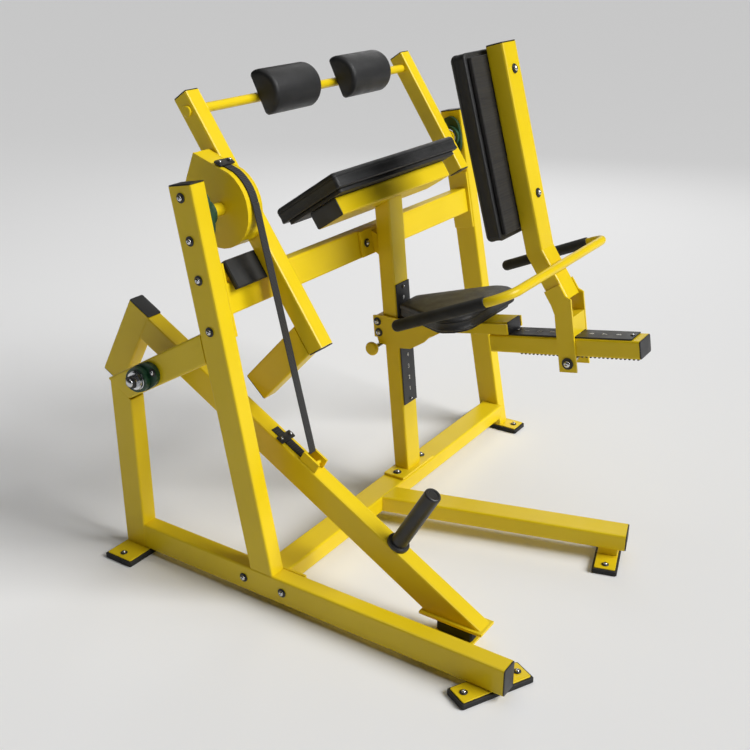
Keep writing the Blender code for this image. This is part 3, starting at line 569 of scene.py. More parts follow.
@dataclass(frozen=True)
class WovenFinish:
    """Woven belt: two crossed wave patterns, one along the belt and one across it."""

    name: str = "woven_belt"
    dark: tuple = (0.004, 0.004, 0.004)
    light: tuple = (0.030, 0.030, 0.032)
    warp: float = 150.0
    weft: float = 95.0

    def material(self) -> bpy.types.Material:
        """Make the material: the product of the two waves is both tone and relief.

        Returns:
            The material.
        """
        made = bpy.data.materials.new(self.name)
        made.use_nodes = True
        tree = made.node_tree
        shader = tree.nodes["Principled BSDF"]
        shader.inputs["Sheen Weight"].default_value = 0.15
        place = tree.nodes.new("ShaderNodeTexCoord")
        waves = []
        for scale, way in ((self.warp, "X"), (self.weft, "Z")):
            wave = tree.nodes.new("ShaderNodeTexWave")
            wave.bands_direction = way
            wave.inputs["Scale"].default_value = scale
            tree.links.new(place.outputs["Object"], wave.inputs["Vector"])
            waves.append(wave)
        both = tree.nodes.new("ShaderNodeMath")
        both.operation = "MULTIPLY"
        tree.links.new(waves[0].outputs["Fac"], both.inputs[0])
        tree.links.new(waves[1].outputs["Fac"], both.inputs[1])
        mix = tree.nodes.new("ShaderNodeMix")
        mix.data_type = "RGBA"
        mix.inputs["A"].default_value = (*self.dark, 1.0)
        mix.inputs["B"].default_value = (*self.light, 1.0)
        tree.links.new(both.outputs["Value"], mix.inputs["Factor"])
        tree.links.new(mix.outputs["Result"], shader.inputs["Base Color"])
        rough = tree.nodes.new("ShaderNodeMapRange")
        rough.inputs["To Min"].default_value = 0.75
        rough.inputs["To Max"].default_value = 0.5
        tree.links.new(both.outputs["Value"], rough.inputs["Value"])
        tree.links.new(rough.outputs["Result"], shader.inputs["Roughness"])
        bump = tree.nodes.new("ShaderNodeBump")
        bump.inputs["Strength"].default_value = 0.6
        bump.inputs["Distance"].default_value = 0.0006
        tree.links.new(both.outputs["Value"], bump.inputs["Height"])
        tree.links.new(bump.outputs["Normal"], shader.inputs["Normal"])
        return made


FINISHES = {
    # On the yellow, the tint of faces that look up is the lit tops' colour: painted top light.
    "yellow_paint": Finish("yellow_powder_coat", (0.77, 0.555, 0.004), (0.85, 0.625, 0.008),
                           (0.30, 0.42), 3.0, Relief.ORANGE_PEEL, 620.0, 0.16, 0.0004,
                           coat=0.06, specular=0.32, dust_and_top_light=0.05,
                           dust_and_top_light_tint=(0.62, 0.50, 0.22)),
    "black_plastic": Finish("satin_black_plastic", (0.010, 0.010, 0.011), (0.020, 0.020, 0.021),
                            (0.34, 0.48), 9.0, Relief.ORANGE_PEEL, 900.0, 0.25, 0.0003,
                            dust_and_top_light=0.04),
    "black_rubber": Finish("moulded_rubber", (0.009, 0.009, 0.009), (0.020, 0.020, 0.019),
                           (0.55, 0.72), 12.0, Relief.ORANGE_PEEL, 700.0, 0.35, 0.0004,
                           specular=0.35, dust_and_top_light=0.08),
    "black_vinyl": Finish("grained_black_vinyl", (0.007, 0.007, 0.007), (0.016, 0.016, 0.017),
                          (0.36, 0.52), 7.0, Relief.PEBBLE, 330.0, 0.40, 0.0007,
                          specular=0.45, dust_and_top_light=0.05),
    "green_casting": Finish("green_cast_housing", (0.004, 0.035, 0.012), (0.008, 0.060, 0.022),
                            (0.38, 0.55), 20.0, Relief.ORANGE_PEEL, 260.0, 0.50, 0.0009,
                            coat=0.15, dust_and_top_light=0.05),
    "bright_steel": Finish("bright_zinc_steel", (0.50, 0.51, 0.53), (0.74, 0.75, 0.77),
                           (0.14, 0.30), 40.0, Relief.ORANGE_PEEL, 1200.0, 0.12, 0.0002,
                           metallic=1.0),
    "pad_board": Finish("black_stained_ply", (0.010, 0.009, 0.009), (0.019, 0.017, 0.015),
                        (0.55, 0.75), 18.0, Relief.ORANGE_PEEL, 400.0, 0.35, 0.0004,
                        stretch=(0.15, 1.0, 4.0)),
    "belt": WovenFinish(),
}
MATERIALS = {slot: finish.material() for slot, finish in FINISHES.items()}
DIGIT_PAINT = Finish("white_digit_ink", (0.70, 0.70, 0.69), (0.82, 0.82, 0.81), (0.45, 0.60),
                     60.0, Relief.ORANGE_PEEL, 900.0, 0.1, 0.0002).material()


def built(shell: Shell, name: str, slot: str, body: str, *nodes: str,
          sharp: float = 32.0) -> bpy.types.Object:
    """Build a shell in the finish of its slot.

    Args:
        shell: What to build.
        name: Name of the piece.
        slot: The record's material slot.
        body: The body that it rides on.
        *nodes: CAD nodes that it stands for.
        sharp: Edges that turn more than these degrees stay sharp.

    Returns:
        The piece.
    """
    return shell.build(name, MATERIALS[slot], slot, body, nodes, sharp)


# ---------------------------------------------------------------- fasteners and caps
@dataclass
class Fasteners:
    """Domed bolts on black washers, gathered by the part they hold."""

    datum: Datum
    washer_radius: float = 0.0125
    washer_thick: float = 0.0025
    head_radius: float = 0.0072
    head_height: float = 0.0060
    ear_reach: float = 0.052
    high_beam_reach: float = 0.065
    flange: float = 0.0123

    def group(self, name: str, body: str, places: list, scale: float = 1.0) -> None:
        """Build one group of bolts.

        The head's profile is a short side, then a quarter of an ellipse to the top, where
        a shallow key socket is sunk.

        Args:
            name: Name of the group.
            body: The body that it rides on.
            places: Pairs of the face point and the outward direction.
            scale: Size beside the usual bolt.
        """
        washers, heads = Shell(), Shell()
        wide, thick = self.washer_radius * scale, self.washer_thick * scale
        rim = np.array(((wide * 0.94, 0.0), (wide, thick * 0.3), (wide, thick * 0.7),
                        (wide * 0.94, thick), (self.head_radius * scale * 0.6, thick)))
        turn = np.linspace(0.0, 1.15, 7)
        radius, height = self.head_radius * scale, self.head_height * scale
        dome = np.stack((radius * np.cos(turn), height * (0.25 + 0.75 * np.sin(turn))), axis=1)
        socket = np.array(((radius * 0.34, dome[-1, 1]), (radius * 0.32, height * 0.55),
                           (radius * 0.05, height * 0.55)))
        profile = np.concatenate((((radius * 0.97, 0.0),), dome, socket))
        for point, outward in places:
            washers.add(revolved(point + outward * GAP, outward, rim, 28))
            heads.add(revolved(point + outward * (thick + 2 * GAP), outward, profile, 24))
        built(washers, f"{name}_washers", "black_plastic", body)
        built(heads, f"{name}_bolts", "bright_steel", body)

    def build(self) -> None:
        """Build every group of bolts on the machine."""
        d = self.datum
        swing = d.swing_hinge
        beam_mid = d.at(*d.high_beam)
        for side, sign, face in (("left", -1, "left_upright"), ("right", 1, "right_upright")):
            low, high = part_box(face)
            x = low[0] if sign < 0 else high[0]
            places = [middle + d.upright * reach * way
                      for middle, reach in ((swing, self.ear_reach),
                                            (beam_mid, self.high_beam_reach))
                      for way in (1, -1)]
            places += [d.at(0.0, 0.021, 0.115)] if sign > 0 else []
            self.group(f"{side}_upright", "frame",
                       [(np.array((x, p[1], p[2])), X * sign) for p in places])
        rail_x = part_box("left_base_rail")[0][0]
        rail = [d.at(0.0, 0.0756, 0.055), d.at(0.0, -0.054, 0.055)]
        self.group("base_rail", "frame", [(np.array((rail_x, p[1], p[2])), -X) for p in rail])
        self.lever_bearings()
        self.post_and_feet()
        self.carriages()

    def lever_bearings(self) -> None:
        """Bolts through the ears of the lever's two bearings."""
        d = self.datum
        hinge = next(joint for joint in frame["joints"] if joint["name"] == "lever")["pos_m"]
        places = []
        for node, sign in (("lever_bearing_outer", -1), ("lever_bearing_inner", 1)):
            low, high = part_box(node)
            x = high[0] - self.flange if sign < 0 else low[0] + self.flange
            for reach in (-self.ear_reach, self.ear_reach):
                place = np.array(hinge) + d.strut * reach
                places.append((np.array((x, place[1], place[2])), X * sign))
        self.group("lever_bearing", "frame", places, 0.85)

    def post_and_feet(self) -> None:
        """Bolts of the post's foot plate and its bracket."""
        d = self.datum
        plate_top = 0.1010
        self.group("post_foot", "frame", [(d.at(x, 0.0, plate_top), Z) for x in (-0.069, 0.069)])
        out = -across(d.upright)
        bracket = d.at(*d.high_beam) + out * (0.025 + GAP + 0.008)
        self.group("post_bracket", "frame", [(bracket + X * x, out) for x in (-0.060, 0.060)])

    def carriages(self) -> None:
        """Bolts of the seat's cheeks, the clevis and the backrest."""
        d = self.datum
        low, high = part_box("carriage_cheeks")
        cheeks = []
        for y, z in ((0.089, 0.574), (0.0835, 0.541)):
            place = d.at(0.0, y, z)
            cheeks.append((np.array((low[0], place[1], place[2])), -X))
            cheeks.append((np.array((high[0], place[1], place[2])), X))
        self.group("carriage", "seat", cheeks)
        beam_up = across(d.beam)
        start = d.at(*d.beam_start)
        low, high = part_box("clevis")
        wheel = start + d.beam * 0.2335 - beam_up * 0.0438
        self.group("clevis", "back", [(np.array((low[0], wheel[1], wheel[2])), -X),
                                      (np.array((high[0], wheel[1], wheel[2])), X)], 1.3)
        knee = d.at(*d.back_knee)
        rear = -across(d.back)
        self.group("backrest", "back",
                   [(knee + d.back * rise + rear * 0.025, rear) for rise in (0.15, 0.47)])


@dataclass
class EndCaps:
    """Black plugs in the open ends of the tubes."""

    datum: Datum
    thick: float = 0.0040
    corner: float = 0.0055
    lip: float = 0.0008
    lever_deep: float = 0.080
    seat_arm_deep: float = 0.038

    def cap(self, name: str, body: str, end: Array, side: Array, out: Array, wide: float,
            deep: float) -> None:
        """Build one cap: a plate with rounded corners and edge and a slightly domed face.

        Args:
            name: Name of the piece.
            body: The body that it rides on.
            end: Middle of the tube's end.
            side: Direction of the width.
            out: Outward direction.
            wide: Width of the tube.
            deep: Depth of the tube.
        """
        size = (wide - self.lip, deep - self.lip, self.thick - 0.0008)
        grid = slab(end + out * GAP, size, side, out, self.corner, 0.0015, 0.0008)
        built(Shell().add(grid), name, "black_plastic", body)

    def build(self) -> None:
        """Build every cap."""
        d = self.datum
        up, narrow, deep = d.upright, d.narrow, d.deep
        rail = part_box("left_base_rail")
        left = (rail[0][0] + rail[1][0]) / 2 - d.shift[0]
        right = 0.5847
        self.cap("cap_base_rail", "frame", d.at(left, -0.6994, 0.055), X, -Y, narrow, deep)
        top = np.array((0.0, 0.01455, 0.0912)) + up * 1.0233
        for side, x in (("left", left), ("right", right)):
            self.cap(f"cap_{side}_upright", "frame", d.at(x, top[1], top[2]), X, up, narrow, deep)
        end = d.at(-0.1715, -0.0378, 0.0675) + d.rail * 0.7005
        self.cap("cap_centre_rail", "frame", end, Z, d.rail, narrow, deep)
        pad_up = -across(d.pad)
        for side, x, out in (("left", -0.282, -X), ("right", 0.278, X)):
            self.cap(f"cap_arm_tube_{side}", "frame", d.at(x, 0.0955, 0.9509), pad_up, out,
                     narrow, 0.100)
        self.swing_and_lever()
        self.carriages()

    def swing_and_lever(self) -> None:
        """Caps of the swing's posts, its counterweight arm and the lever's leg."""
        d = self.datum
        swing = np.array((0.0, d.swing_y, d.swing_z))
        for side, x, low in (("left", -0.5063, -0.418), ("right", 0.4927, -0.116)):
            for word, reach, out in (("top", 0.301, d.swing), ("foot", low, -d.swing)):
                place = swing + d.swing * reach
                self.cap(f"cap_swing_{side}_{word}", "swing", d.at(x, place[1], place[2]), X,
                         out, d.narrow, d.narrow)
        arm = unit(np.array((0.0, 0.688, -0.7257)))
        end = np.array((-0.5063, -0.0003, 0.6926)) + arm * 0.233
        self.cap("cap_counterweight_arm", "swing", d.at(*end), X, arm, d.narrow, self.lever_deep)
        lever_up = across(d.lever)
        head = np.array(d.lever_hinge) + d.lever * -0.1778 + lever_up * 0.040
        self.cap("cap_lever_leg_top", "lever", d.at(*head), X, lever_up, d.narrow,
                 self.lever_deep)
        self.cap("cap_lever_leg_foot", "lever", d.at(*(head - lever_up * 0.265)), X, -lever_up,
                 d.narrow, self.lever_deep)

    def carriages(self) -> None:
        """Caps of the back beam, the arm under the seat and the backrest's post."""
        d = self.datum
        up = across(d.beam)
        start = np.array(d.beam_start)
        self.cap("cap_back_beam", "seat", d.at(*(start + d.beam * 0.4328)), X, d.beam, d.deep,
                 d.narrow)
        arm = start + up * 0.0443
        self.cap("cap_seat_arm_rear", "seat", d.at(*(arm + d.beam * 0.058)), X, d.beam, d.deep,
                 self.seat_arm_deep)
        post = np.array(d.back_knee) + d.back * 0.5365
        self.cap("cap_back_post", "back", d.at(*post), X, d.back, d.deep,
                 d.narrow)


# ---------------------------------------------------------------- cushions
@dataclass
class Cushion:
    """A crowned cushion: rounded at the edges, pulled in round its side, seamed at the top."""

    name: str
    body: str
    origin: Array
    side: Array
    up: Array
    size: tuple
    corner: float = 0.014
    edge: float = 0.013
    crown: float = 0.006
    pull: float = 0.0016
    outline: Array | None = None

    def loop(self, inset: float) -> Array:
        """The outline drawn in by so much.

        Args:
            inset: Distance from the full outline.

        Returns:
            Points (n, 2).
        """
        half_u, half_v = self.size[0] / 2, self.size[1] / 2
        if self.outline is None:
            return rounded_outline(half_u - inset, half_v - inset, max(self.corner - inset, 0.002),
                                   8)
        middle = self.outline.mean(axis=0)
        return middle + (self.outline - middle) * (1 - inset / min(half_u, half_v))

    def grid(self) -> Array:
        """Bottom edge, side, top edge and crown.

        The side is drawn in by pull times sin(pi t); the seam is a notch where the side
        meets the rounded edge; the top rises as the sine of the way to the middle.

        Returns:
            Grid (rows, n, 3).
        """
        thick = self.size[2] - self.crown
        low = np.linspace(0.0, np.pi / 2, 5)
        insets = 0.004 * (1 - np.sin(low))
        heights = 0.004 * (1 - np.cos(low))
        way = np.linspace(0.1, 1.0, 7)
        insets = np.append(insets, self.pull * np.sin(way * np.pi))
        heights = np.append(heights, 0.004 + way * (thick - self.edge - 0.0065))
        notch = heights[-1]
        insets = np.append(insets, (0.0013, 0.0015, 0.0002))
        heights = np.append(heights, (notch + 0.0008, notch + 0.0015, notch + 0.0024))
        turn = np.linspace(0.1, np.pi / 2, 8)
        insets = np.append(insets, self.edge * (1 - np.cos(turn)))
        heights = np.append(heights, thick - self.edge + self.edge * np.sin(turn))
        share = np.linspace(0.08, 1.0, 14)
        room = min(self.size[:2]) / 2 - self.edge - 0.001
        insets = np.append(insets, self.edge + share * room)
        heights = np.append(heights, thick + self.crown * np.sin(share * np.pi / 2) ** 0.8)
        return stacked([self.loop(i) for i in insets], heights, self.origin, self.side, self.up)

    def build(self) -> bpy.types.Object:
        """Build the cushion in place of its CAD node."""
        piece = built(Shell().add(self.grid()), f"{self.name}_cushion", "black_vinyl", self.body,
                      self.name, sharp=75.0)
        return piece


@dataclass
class Upholstery:
    """The five pads and their boards."""

    datum: Datum
    board: float = 0.010
    board_inset: float = 0.014
    back_board: float = 0.012
    back_start: float = 0.0565
    arm_shift: float = 0.016
    arm_size: tuple = (0.628, 0.236, 0.0497)
    back_size: tuple = (0.263, 0.477, 0.050)
    seat_size: tuple = (0.285, 0.370, 0.0457)
    seat_base: float = 0.0738
    seat_nose: float = 0.045
    seat_hip: float = 0.222
    forearm_lean: float = 26.4
    forearm_half: float = 0.0615
    forearm_thick: float = 0.060
    forearm_reach: float = 0.205
    forearm_centres: tuple = (-0.172, 0.186)

    def arm_pad(self) -> None:
        """Sloping cushion for the upper arms, with its board."""
        d = self.datum
        up = -across(d.pad)
        base = d.at(*d.arm_tube) + up * (d.narrow / 2 + 2 * GAP) + d.pad * self.arm_shift
        wide, deep = (size - 2 * self.board_inset for size in self.arm_size[:2])
        board = slab(base, (wide, deep, self.board), X, up, 0.012, 0.002)
        built(Shell().add(board), "arm_pad_board", "pad_board", "frame")
        Cushion("arm_pad", "frame", base + up * (self.board + GAP), X, up,
                self.arm_size).build()

    def back_pad(self) -> None:
        """Tall cushion of the backrest."""
        d = self.datum
        out = across(d.back)
        base = d.at(*d.back_knee) + out * (d.narrow / 2 + self.back_board + 3 * GAP)
        base = base + d.back * (self.back_start + self.back_size[1] / 2)
        Cushion("back_pad", "back", base, X, out, self.back_size, 0.016).build()

    def seat_pad(self) -> None:
        """Seat cushion, narrow at the post and wide at the hips."""
        d = self.datum
        up = across(d.beam)
        base = d.at(*d.beam_start) + d.beam * 0.001 + up * self.seat_base
        front, nose, hip = self.seat_size[0], self.seat_nose, self.seat_hip
        corners = ((front, -nose, 0.016), (0.0, -hip, 0.060), (0.0, hip, 0.060),
                   (front, nose, 0.016))
        outline = self.fillet(corners)
        Cushion("seat_pad", "seat", base, -d.beam, up, self.seat_size, edge=0.012,
                crown=0.007, outline=outline * np.array((1.0, -1.0))).build()

    @staticmethod
    def fillet(corners: tuple, steps: int = 10) -> Array:
        """Round each (u, v, radius) corner with the arc that touches both of its sides.

        Args:
            corners: The corners, in order round the outline.
            steps: Points in each arc, less one.

        Returns:
            Points (n, 2), evenly close along arcs and sides.
        """
        points = np.array([corner[:2] for corner in corners])
        loop = []
        for index, (here, corner) in enumerate(zip(points, corners)):
            back = unit(points[index - 1] - here)
            ahead = unit(points[(index + 1) % len(points)] - here)
            half = np.arccos(np.dot(back, ahead)) / 2
            centre = here + unit(back + ahead) * corner[2] / np.sin(half)
            first = here + back * corner[2] / np.tan(half) - centre
            last = here + ahead * corner[2] / np.tan(half) - centre
            share = np.linspace(0.0, 1.0, steps + 1)[:, None]
            arc = first * (1 - share) + last * share
            loop.append(centre + arc / np.linalg.norm(arc, axis=1)[:, None] * corner[2])
        return np.concatenate(loop)

    def forearm_pads(self) -> None:
        """Two D-section pads on the roller bar.

        Round the section the angle gives a half ellipse over a flat; along the bar the
        section is drawn in as a quarter circle near each end.
        """
        d = self.datum
        flat = lean(self.forearm_lean)
        out = -across(flat)
        face = d.grip + out * (0.0125 + 2 * GAP) + flat * 0.004
        angle = np.linspace(0.0, np.pi, 33)
        arc = np.stack((self.forearm_half * np.cos(angle),
                        0.012 + self.forearm_thick * np.sin(angle)), axis=1)
        base = np.array(((-0.0600, 0.0035), (-0.0560, 0.0), (0.0560, 0.0), (0.0600, 0.0035)))
        section = np.concatenate((arc, base))
        middle = np.array((0.0, 0.030))
        radius = 0.014
        turn = np.linspace(0.0, np.pi / 2, 8)
        near = radius * (1 - np.cos(turn))
        draw = radius * (1 - np.sin(turn))
        along = np.concatenate((near, self.forearm_reach - near[::-1]))
        draw = np.concatenate((draw, draw[::-1]))
        swell = 1 + 0.018 * np.sin(np.pi * along / self.forearm_reach)
        for side, centre in zip(("left", "right"), self.forearm_centres):
            scale = (1 - draw / 0.045) * swell
            loops = middle + (section - middle) * scale[:, None, None]
            loops[..., 1] = np.maximum(loops[..., 1], 0.0)
            start = face + X * (centre - self.forearm_reach / 2)
            grid = (start + along[:, None, None] * X + loops[..., :1] * flat
                    + loops[..., 1:] * out)
            name = f"forearm_pad_{side}"
            piece = built(Shell().add(grid), f"{name}_cushion", "black_vinyl", "swing", name,
                          sharp=60.0)

    def build(self) -> None:
        """Build every pad."""
        self.arm_pad()
        self.back_pad()
        self.seat_pad()
        self.forearm_pads()


# ---------------------------------------------------------------- bars, grips and turned parts
@dataclass
class RoundParts:
    """Bars, grips, horn, knob and shafts that have to look truly round."""

    datum: Datum
    bar_radius: float = 0.0125
    handle_half: float = 0.315
    handle_drop: float = 24.0
    bend: float = 0.060
    arm: float = 0.350

    def handle(self) -> None:
        """U-shaped bar behind the post, and a grip on each of its ends.

        The path is arm, quarter circle, cross bar, quarter circle, arm, in one plane.
        """
        d = self.datum
        foot = lean(d.back_foot_lean)
        rear = d.at(*d.back_knee) - foot * 0.062
        rear = rear - across(foot) * (d.narrow / 2 + GAP + 0.0128)
        slope = np.array((0.0, cos(radians(self.handle_drop)), -sin(radians(self.handle_drop))))
        turn = np.linspace(0.0, np.pi / 2, 15)[:, None]
        corner = rear - X * self.handle_half
        arc = corner + X * self.bend * (1 - np.cos(turn)) + slope * self.bend * (1 - np.sin(turn))
        straight = corner + slope * np.linspace(self.arm, self.bend + 0.004, 8)[:, None]
        cross = rear + X * np.linspace(-self.handle_half + self.bend + 0.006, 0.0, 6)[:, None]
        half = np.concatenate((straight, arc, cross))
        mirror = half[:-1][::-1].copy()
        mirror[:, 0] = 2 * rear[0] - mirror[:, 0]
        path = np.concatenate((half, mirror))
        built(Shell().add(swept(path, self.bar_radius, np.cross(slope, X), 20)), "handle_tube",
              "yellow_paint", "back", "handle_bar", sharp=60.0)
        turn = np.linspace(0.0, np.pi / 2, 7)
        body = np.array(((0.0129, 0.0), (0.0152, 0.0004), (0.0160, 0.0016), (0.0160, 0.280)))
        end = np.stack((0.0160 * np.cos(turn), 0.280 + 0.0138 * np.sin(turn)), axis=1)[1:-1]
        profile = np.concatenate((body, end, ((0.0006, 0.2940),)))
        for side, sign in (("left", -1), ("right", 1)):
            start = rear + X * sign * self.handle_half + slope * 0.0652
            name = f"handle_grip_{side}"
            built(Shell().add(revolved(start, slope, profile)), f"{name}_sleeve", "black_rubber",
                  "back", name, sharp=50.0)

    def roller_bar(self) -> None:
        """Bar between the swing's posts, with a welded boss on each outer face."""
        d = self.datum
        grip = d.grip
        low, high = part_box("roller_bar")
        length = high[0] - low[0]
        start = np.array((low[0], grip[1], grip[2]))
        profile = np.array(((self.bar_radius, 0.0), (self.bar_radius, length / 2),
                            (self.bar_radius, length)))
        built(Shell().add(revolved(start, X, profile)), "roller_tube", "yellow_paint", "swing",
              "roller_bar")
        bosses = Shell()
        for node, sign in (("swing_left_post", -1), ("swing_right_post", 1)):
            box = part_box(node)
            x = box[0][0] if sign < 0 else box[1][0]
            boss = np.array(((0.0140, 0.0), (0.0140, 0.0045), (0.0125, 0.0060), (0.004, 0.0060)))
            bosses.add(revolved(np.array((x + sign * GAP, grip[1], grip[2])), X * sign, boss, 28))
        built(bosses, "roller_bar_bosses", "yellow_paint", "swing")

    def horn(self) -> None:
        """Horn for the plates: collar, sleeve and a rounded end, with a nut under the lever."""
        d = self.datum
        up = across(d.lever)
        pivot = d.at(*d.lever_hinge)
        foot = d.at(-0.5646, -0.313, 0.2136)
        foot = foot + up * (0.040 + GAP - np.dot(foot - pivot, up))
        turn = np.linspace(0.1, np.pi / 2, 6)
        end = np.stack((0.0165 + 0.0055 * np.cos(turn), 0.1990 + 0.0055 * np.sin(turn)), axis=1)
        profile = np.concatenate((
            ((0.0285, 0.0), (0.0300, 0.0015), (0.0300, 0.0085), (0.0285, 0.0100),
             (0.0222, 0.0102), (0.0220, 0.0120), (0.0220, 0.1985)), end,
            ((0.0140, 0.2040), (0.0128, 0.2020), (0.0020, 0.2016))))
        built(Shell().add(revolved(foot, up, profile, 40)), "weight_horn_sleeve",
              "black_plastic", "lever", "weight_horn")
        nut = np.array(((0.0125, 0.0), (0.0140, 0.0012), (0.0140, 0.0095), (0.0122, 0.0110),
                        (0.0070, 0.0112), (0.0070, 0.0150), (0.0060, 0.0160), (0.0015, 0.0160)))
        under = foot - up * (0.080 + 2 * GAP)
        built(Shell().add(revolved(under, -up, nut, 6)), "weight_horn_nut", "bright_steel",
              "lever")

    def shafts(self) -> None:
        """Bearing inserts, and the nut and dome on the lever's shaft."""
        d = self.datum
        inserts = Shell()
        ring = np.array(((0.0172, 0.0), (0.0262, 0.0), (0.0262, 0.0030), (0.0250, 0.0042),
                         (0.0186, 0.0042), (0.0172, 0.0032)))
        hinge = {joint["name"]: np.array(joint["pos_m"]) for joint in frame["joints"]
                 if joint["type"] == "hinge"}
        for node, joint, sign in (("lever_bearing_outer", "lever", -1),
                                  ("lever_bearing_inner", "lever", 1),
                                  ("swing_bearing_left", "swing", 1),
                                  ("swing_bearing_right", "swing", -1)):
            low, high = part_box(node)
            x = low[0] if sign < 0 else high[0]
            place = np.array((x + sign * GAP, hinge[joint][1], hinge[joint][2]))
            inserts.add(revolved(place, X * sign, ring, 36))
        built(inserts, "bearing_inserts", "bright_steel", "frame")
        end = np.array((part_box("lever_shaft")[0][0], hinge["lever"][1], hinge["lever"][2]))
        nut = np.array(((0.0170, 0.0), (0.0195, 0.0015), (0.0195, 0.0060), (0.0170, 0.0075),
                        (0.0100, 0.0076)))
        built(Shell().add(revolved(end - X * GAP, -X, nut, 6)), "lever_shaft_nut",
              "black_plastic", "lever", sharp=20.0)
        turn = np.linspace(0.0, np.pi / 2, 8)
        dome = np.stack((0.0112 * np.cos(turn) + 0.0004, 0.0075 + 0.0070 * np.sin(turn)), axis=1)
        built(Shell().add(revolved(end - X * 2 * GAP, -X, dome, 28)), "lever_shaft_dome",
              "bright_steel", "lever")

    def knob(self) -> None:
        """Round pull knob of the seat latch, waisted behind its face."""
        low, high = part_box("latch_knob")
        centre = (np.array(low) + np.array(high)) / 2
        start = np.array((high[0], centre[1], centre[2]))
        profile = np.array(((0.0110, 0.0), (0.0150, 0.0010), (0.0165, 0.0040), (0.0185, 0.0075),
                            (0.0205, 0.0105), (0.0210, 0.0140), (0.0206, 0.0175),
                            (0.0185, 0.0205), (0.0140, 0.0218), (0.0060, 0.0220)))
        built(Shell().add(revolved(start, -X, profile, 36)), "latch_knob_turned",
              "yellow_paint", "latch", "latch_knob")

    def build(self) -> None:
        """Build every round part."""
        self.handle()
        self.roller_bar()
        self.horn()
        self.shafts()
        self.knob()


# ---------------------------------------------------------------- belt, clamps and feet
@dataclass
class BeltDrive:
    """The belt's straight run and the clamp plates at its two ends."""

    datum: Datum
    wide: float = 0.025
    thick: float = 0.0025
    shortest: float = 0.74
    tilt: float = 13.65
    cam_x: float = -0.5646
    cam_top: float = 110.0
    cam_rim: float = 0.0977
    cam_corner: tuple = (0.0, 0.0784, 0.1295)
    clamp_on_cam: float = 0.040
    clamp_on_lever: float = 0.372
    lever_half: float = 0.040

    def span(self) -> None:
        """Straight run of belt: a flat section with round edges carried down a line."""
        joint = next(j for j in frame["joints"] if j["name"] == "belt")
        low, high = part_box("belt_span")
        top = np.array((low[0] + self.wide / 2, joint["pos_m"][1], joint["pos_m"][2]))
        tilt = radians(self.tilt)
        down = np.array((0.0, -sin(tilt), -cos(tilt)))
        out = np.array((0.0, down[2], -down[1]))
        length = (high[2] - low[2]) / cos(tilt)
        loop = rounded_outline(self.wide / 2, self.thick / 2, self.thick / 2.2, 4)
        heights = np.linspace(GAP, length - GAP, 60)
        start = top + out * self.thick / 2
        grid = stacked([loop] * len(heights), heights, start, X, down)
        piece = built(Shell().add(grid), "belt_run", "belt", "belt", "belt_span")
        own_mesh(piece)

    def clamp(self, name: str, body: str, centre: Array, up: Array) -> None:
        """A clamp plate over the belt, with a bolt either side of it.

        Args:
            name: Name of the plate.
            body: The body that it rides on.
            centre: Middle of the plate's underside.
            up: Outward direction.
        """
        plate = slab(centre, (0.054, 0.024, 0.005), X, up, 0.003, 0.001)
        built(Shell().add(plate), f"{name}_plate", "black_plastic", body)
        bolts = [(centre + X * x + up * 0.005, up) for x in (-0.0185, 0.0185)]
        Fasteners(self.datum).group(name, body, bolts, 0.62)

    def build(self) -> None:
        """Build the belt's run and its clamps."""
        d = self.datum
        self.span()
        swing = d.at(self.cam_x, d.swing_y, d.swing_z)
        top = radians(self.cam_top)
        start = swing + np.array((0.0, cos(top), sin(top))) * self.cam_rim
        corner = swing + np.array(self.cam_corner)
        strip = unit(corner - start)
        rise = np.array((0.0, -strip[2], strip[1]))
        lift = self.thick + 3 * GAP
        self.clamp("cam_clamp", "swing", start + strip * self.clamp_on_cam + rise * lift, rise)
        up = across(d.lever)
        place = d.at(*d.lever_hinge) + d.lever * self.clamp_on_lever
        self.clamp("lever_clamp", "lever", place + up * (self.lever_half + lift), up)


@dataclass
class Feet:
    """Rubber shoes with a bolted steel plate in each."""

    datum: Datum
    rim: float = 0.006
    shoe: float = 0.0135
    top: float = 0.0172

    def foot(self, name: str, x: float, y: float, length: float, width: float,
             yaw: float) -> None:
        """Build one shoe and its plate.

        Args:
            name: The CAD foot.
            x: Middle, across.
            y: Middle, ahead.
            length: Length of the shoe.
            width: Width of the shoe.
            yaw: Turn of its long side, in degrees.
        """
        d = self.datum
        side = np.array((cos(radians(yaw)), sin(radians(yaw)), 0.0))
        grid = slab(d.at(x, y, 0.0), (length, width, self.shoe), side, Z, 0.006, 0.0025)
        built(Shell().add(grid), f"{name}_shoe", "black_rubber", "frame", name)
        inner = (length - 2 * self.rim, width - 2 * self.rim, self.top - self.shoe - GAP)
        plate = slab(d.at(x, y, self.shoe + GAP), inner, side, Z, 0.004, 0.0008)
        built(Shell().add(plate), f"{name}_plate", "yellow_paint", "frame")
        places = [(d.at(x, y, self.top) + side * reach, Z)
                  for reach in (0.026 - length / 2, length / 2 - 0.026)]
        Fasteners(d).group(name, "frame", places, 0.8)

    def build(self) -> None:
        """Build the four feet, and the block that lifts the centre rail."""
        d = self.datum
        self.foot("foot_rear_left", -0.6913, 0.475, 0.211, 0.100, 0.0)
        self.foot("foot_front_left", -0.683, -0.652, 0.205, 0.070, -27.5)
        self.foot("foot_right", 0.5897, 0.0075, 0.215, 0.075, 90.0)
        self.foot("foot_centre", 0.009, -0.667, 0.215, 0.070, d.rail_yaw)
        block = slab(d.at(0.009, -0.667, self.top + GAP), (0.060, 0.055, 0.0242),
                     np.cross(Z, d.rail), Z, 0.003, 0.0008)
        built(Shell().add(block), "foot_centre_block", "yellow_paint", "frame")


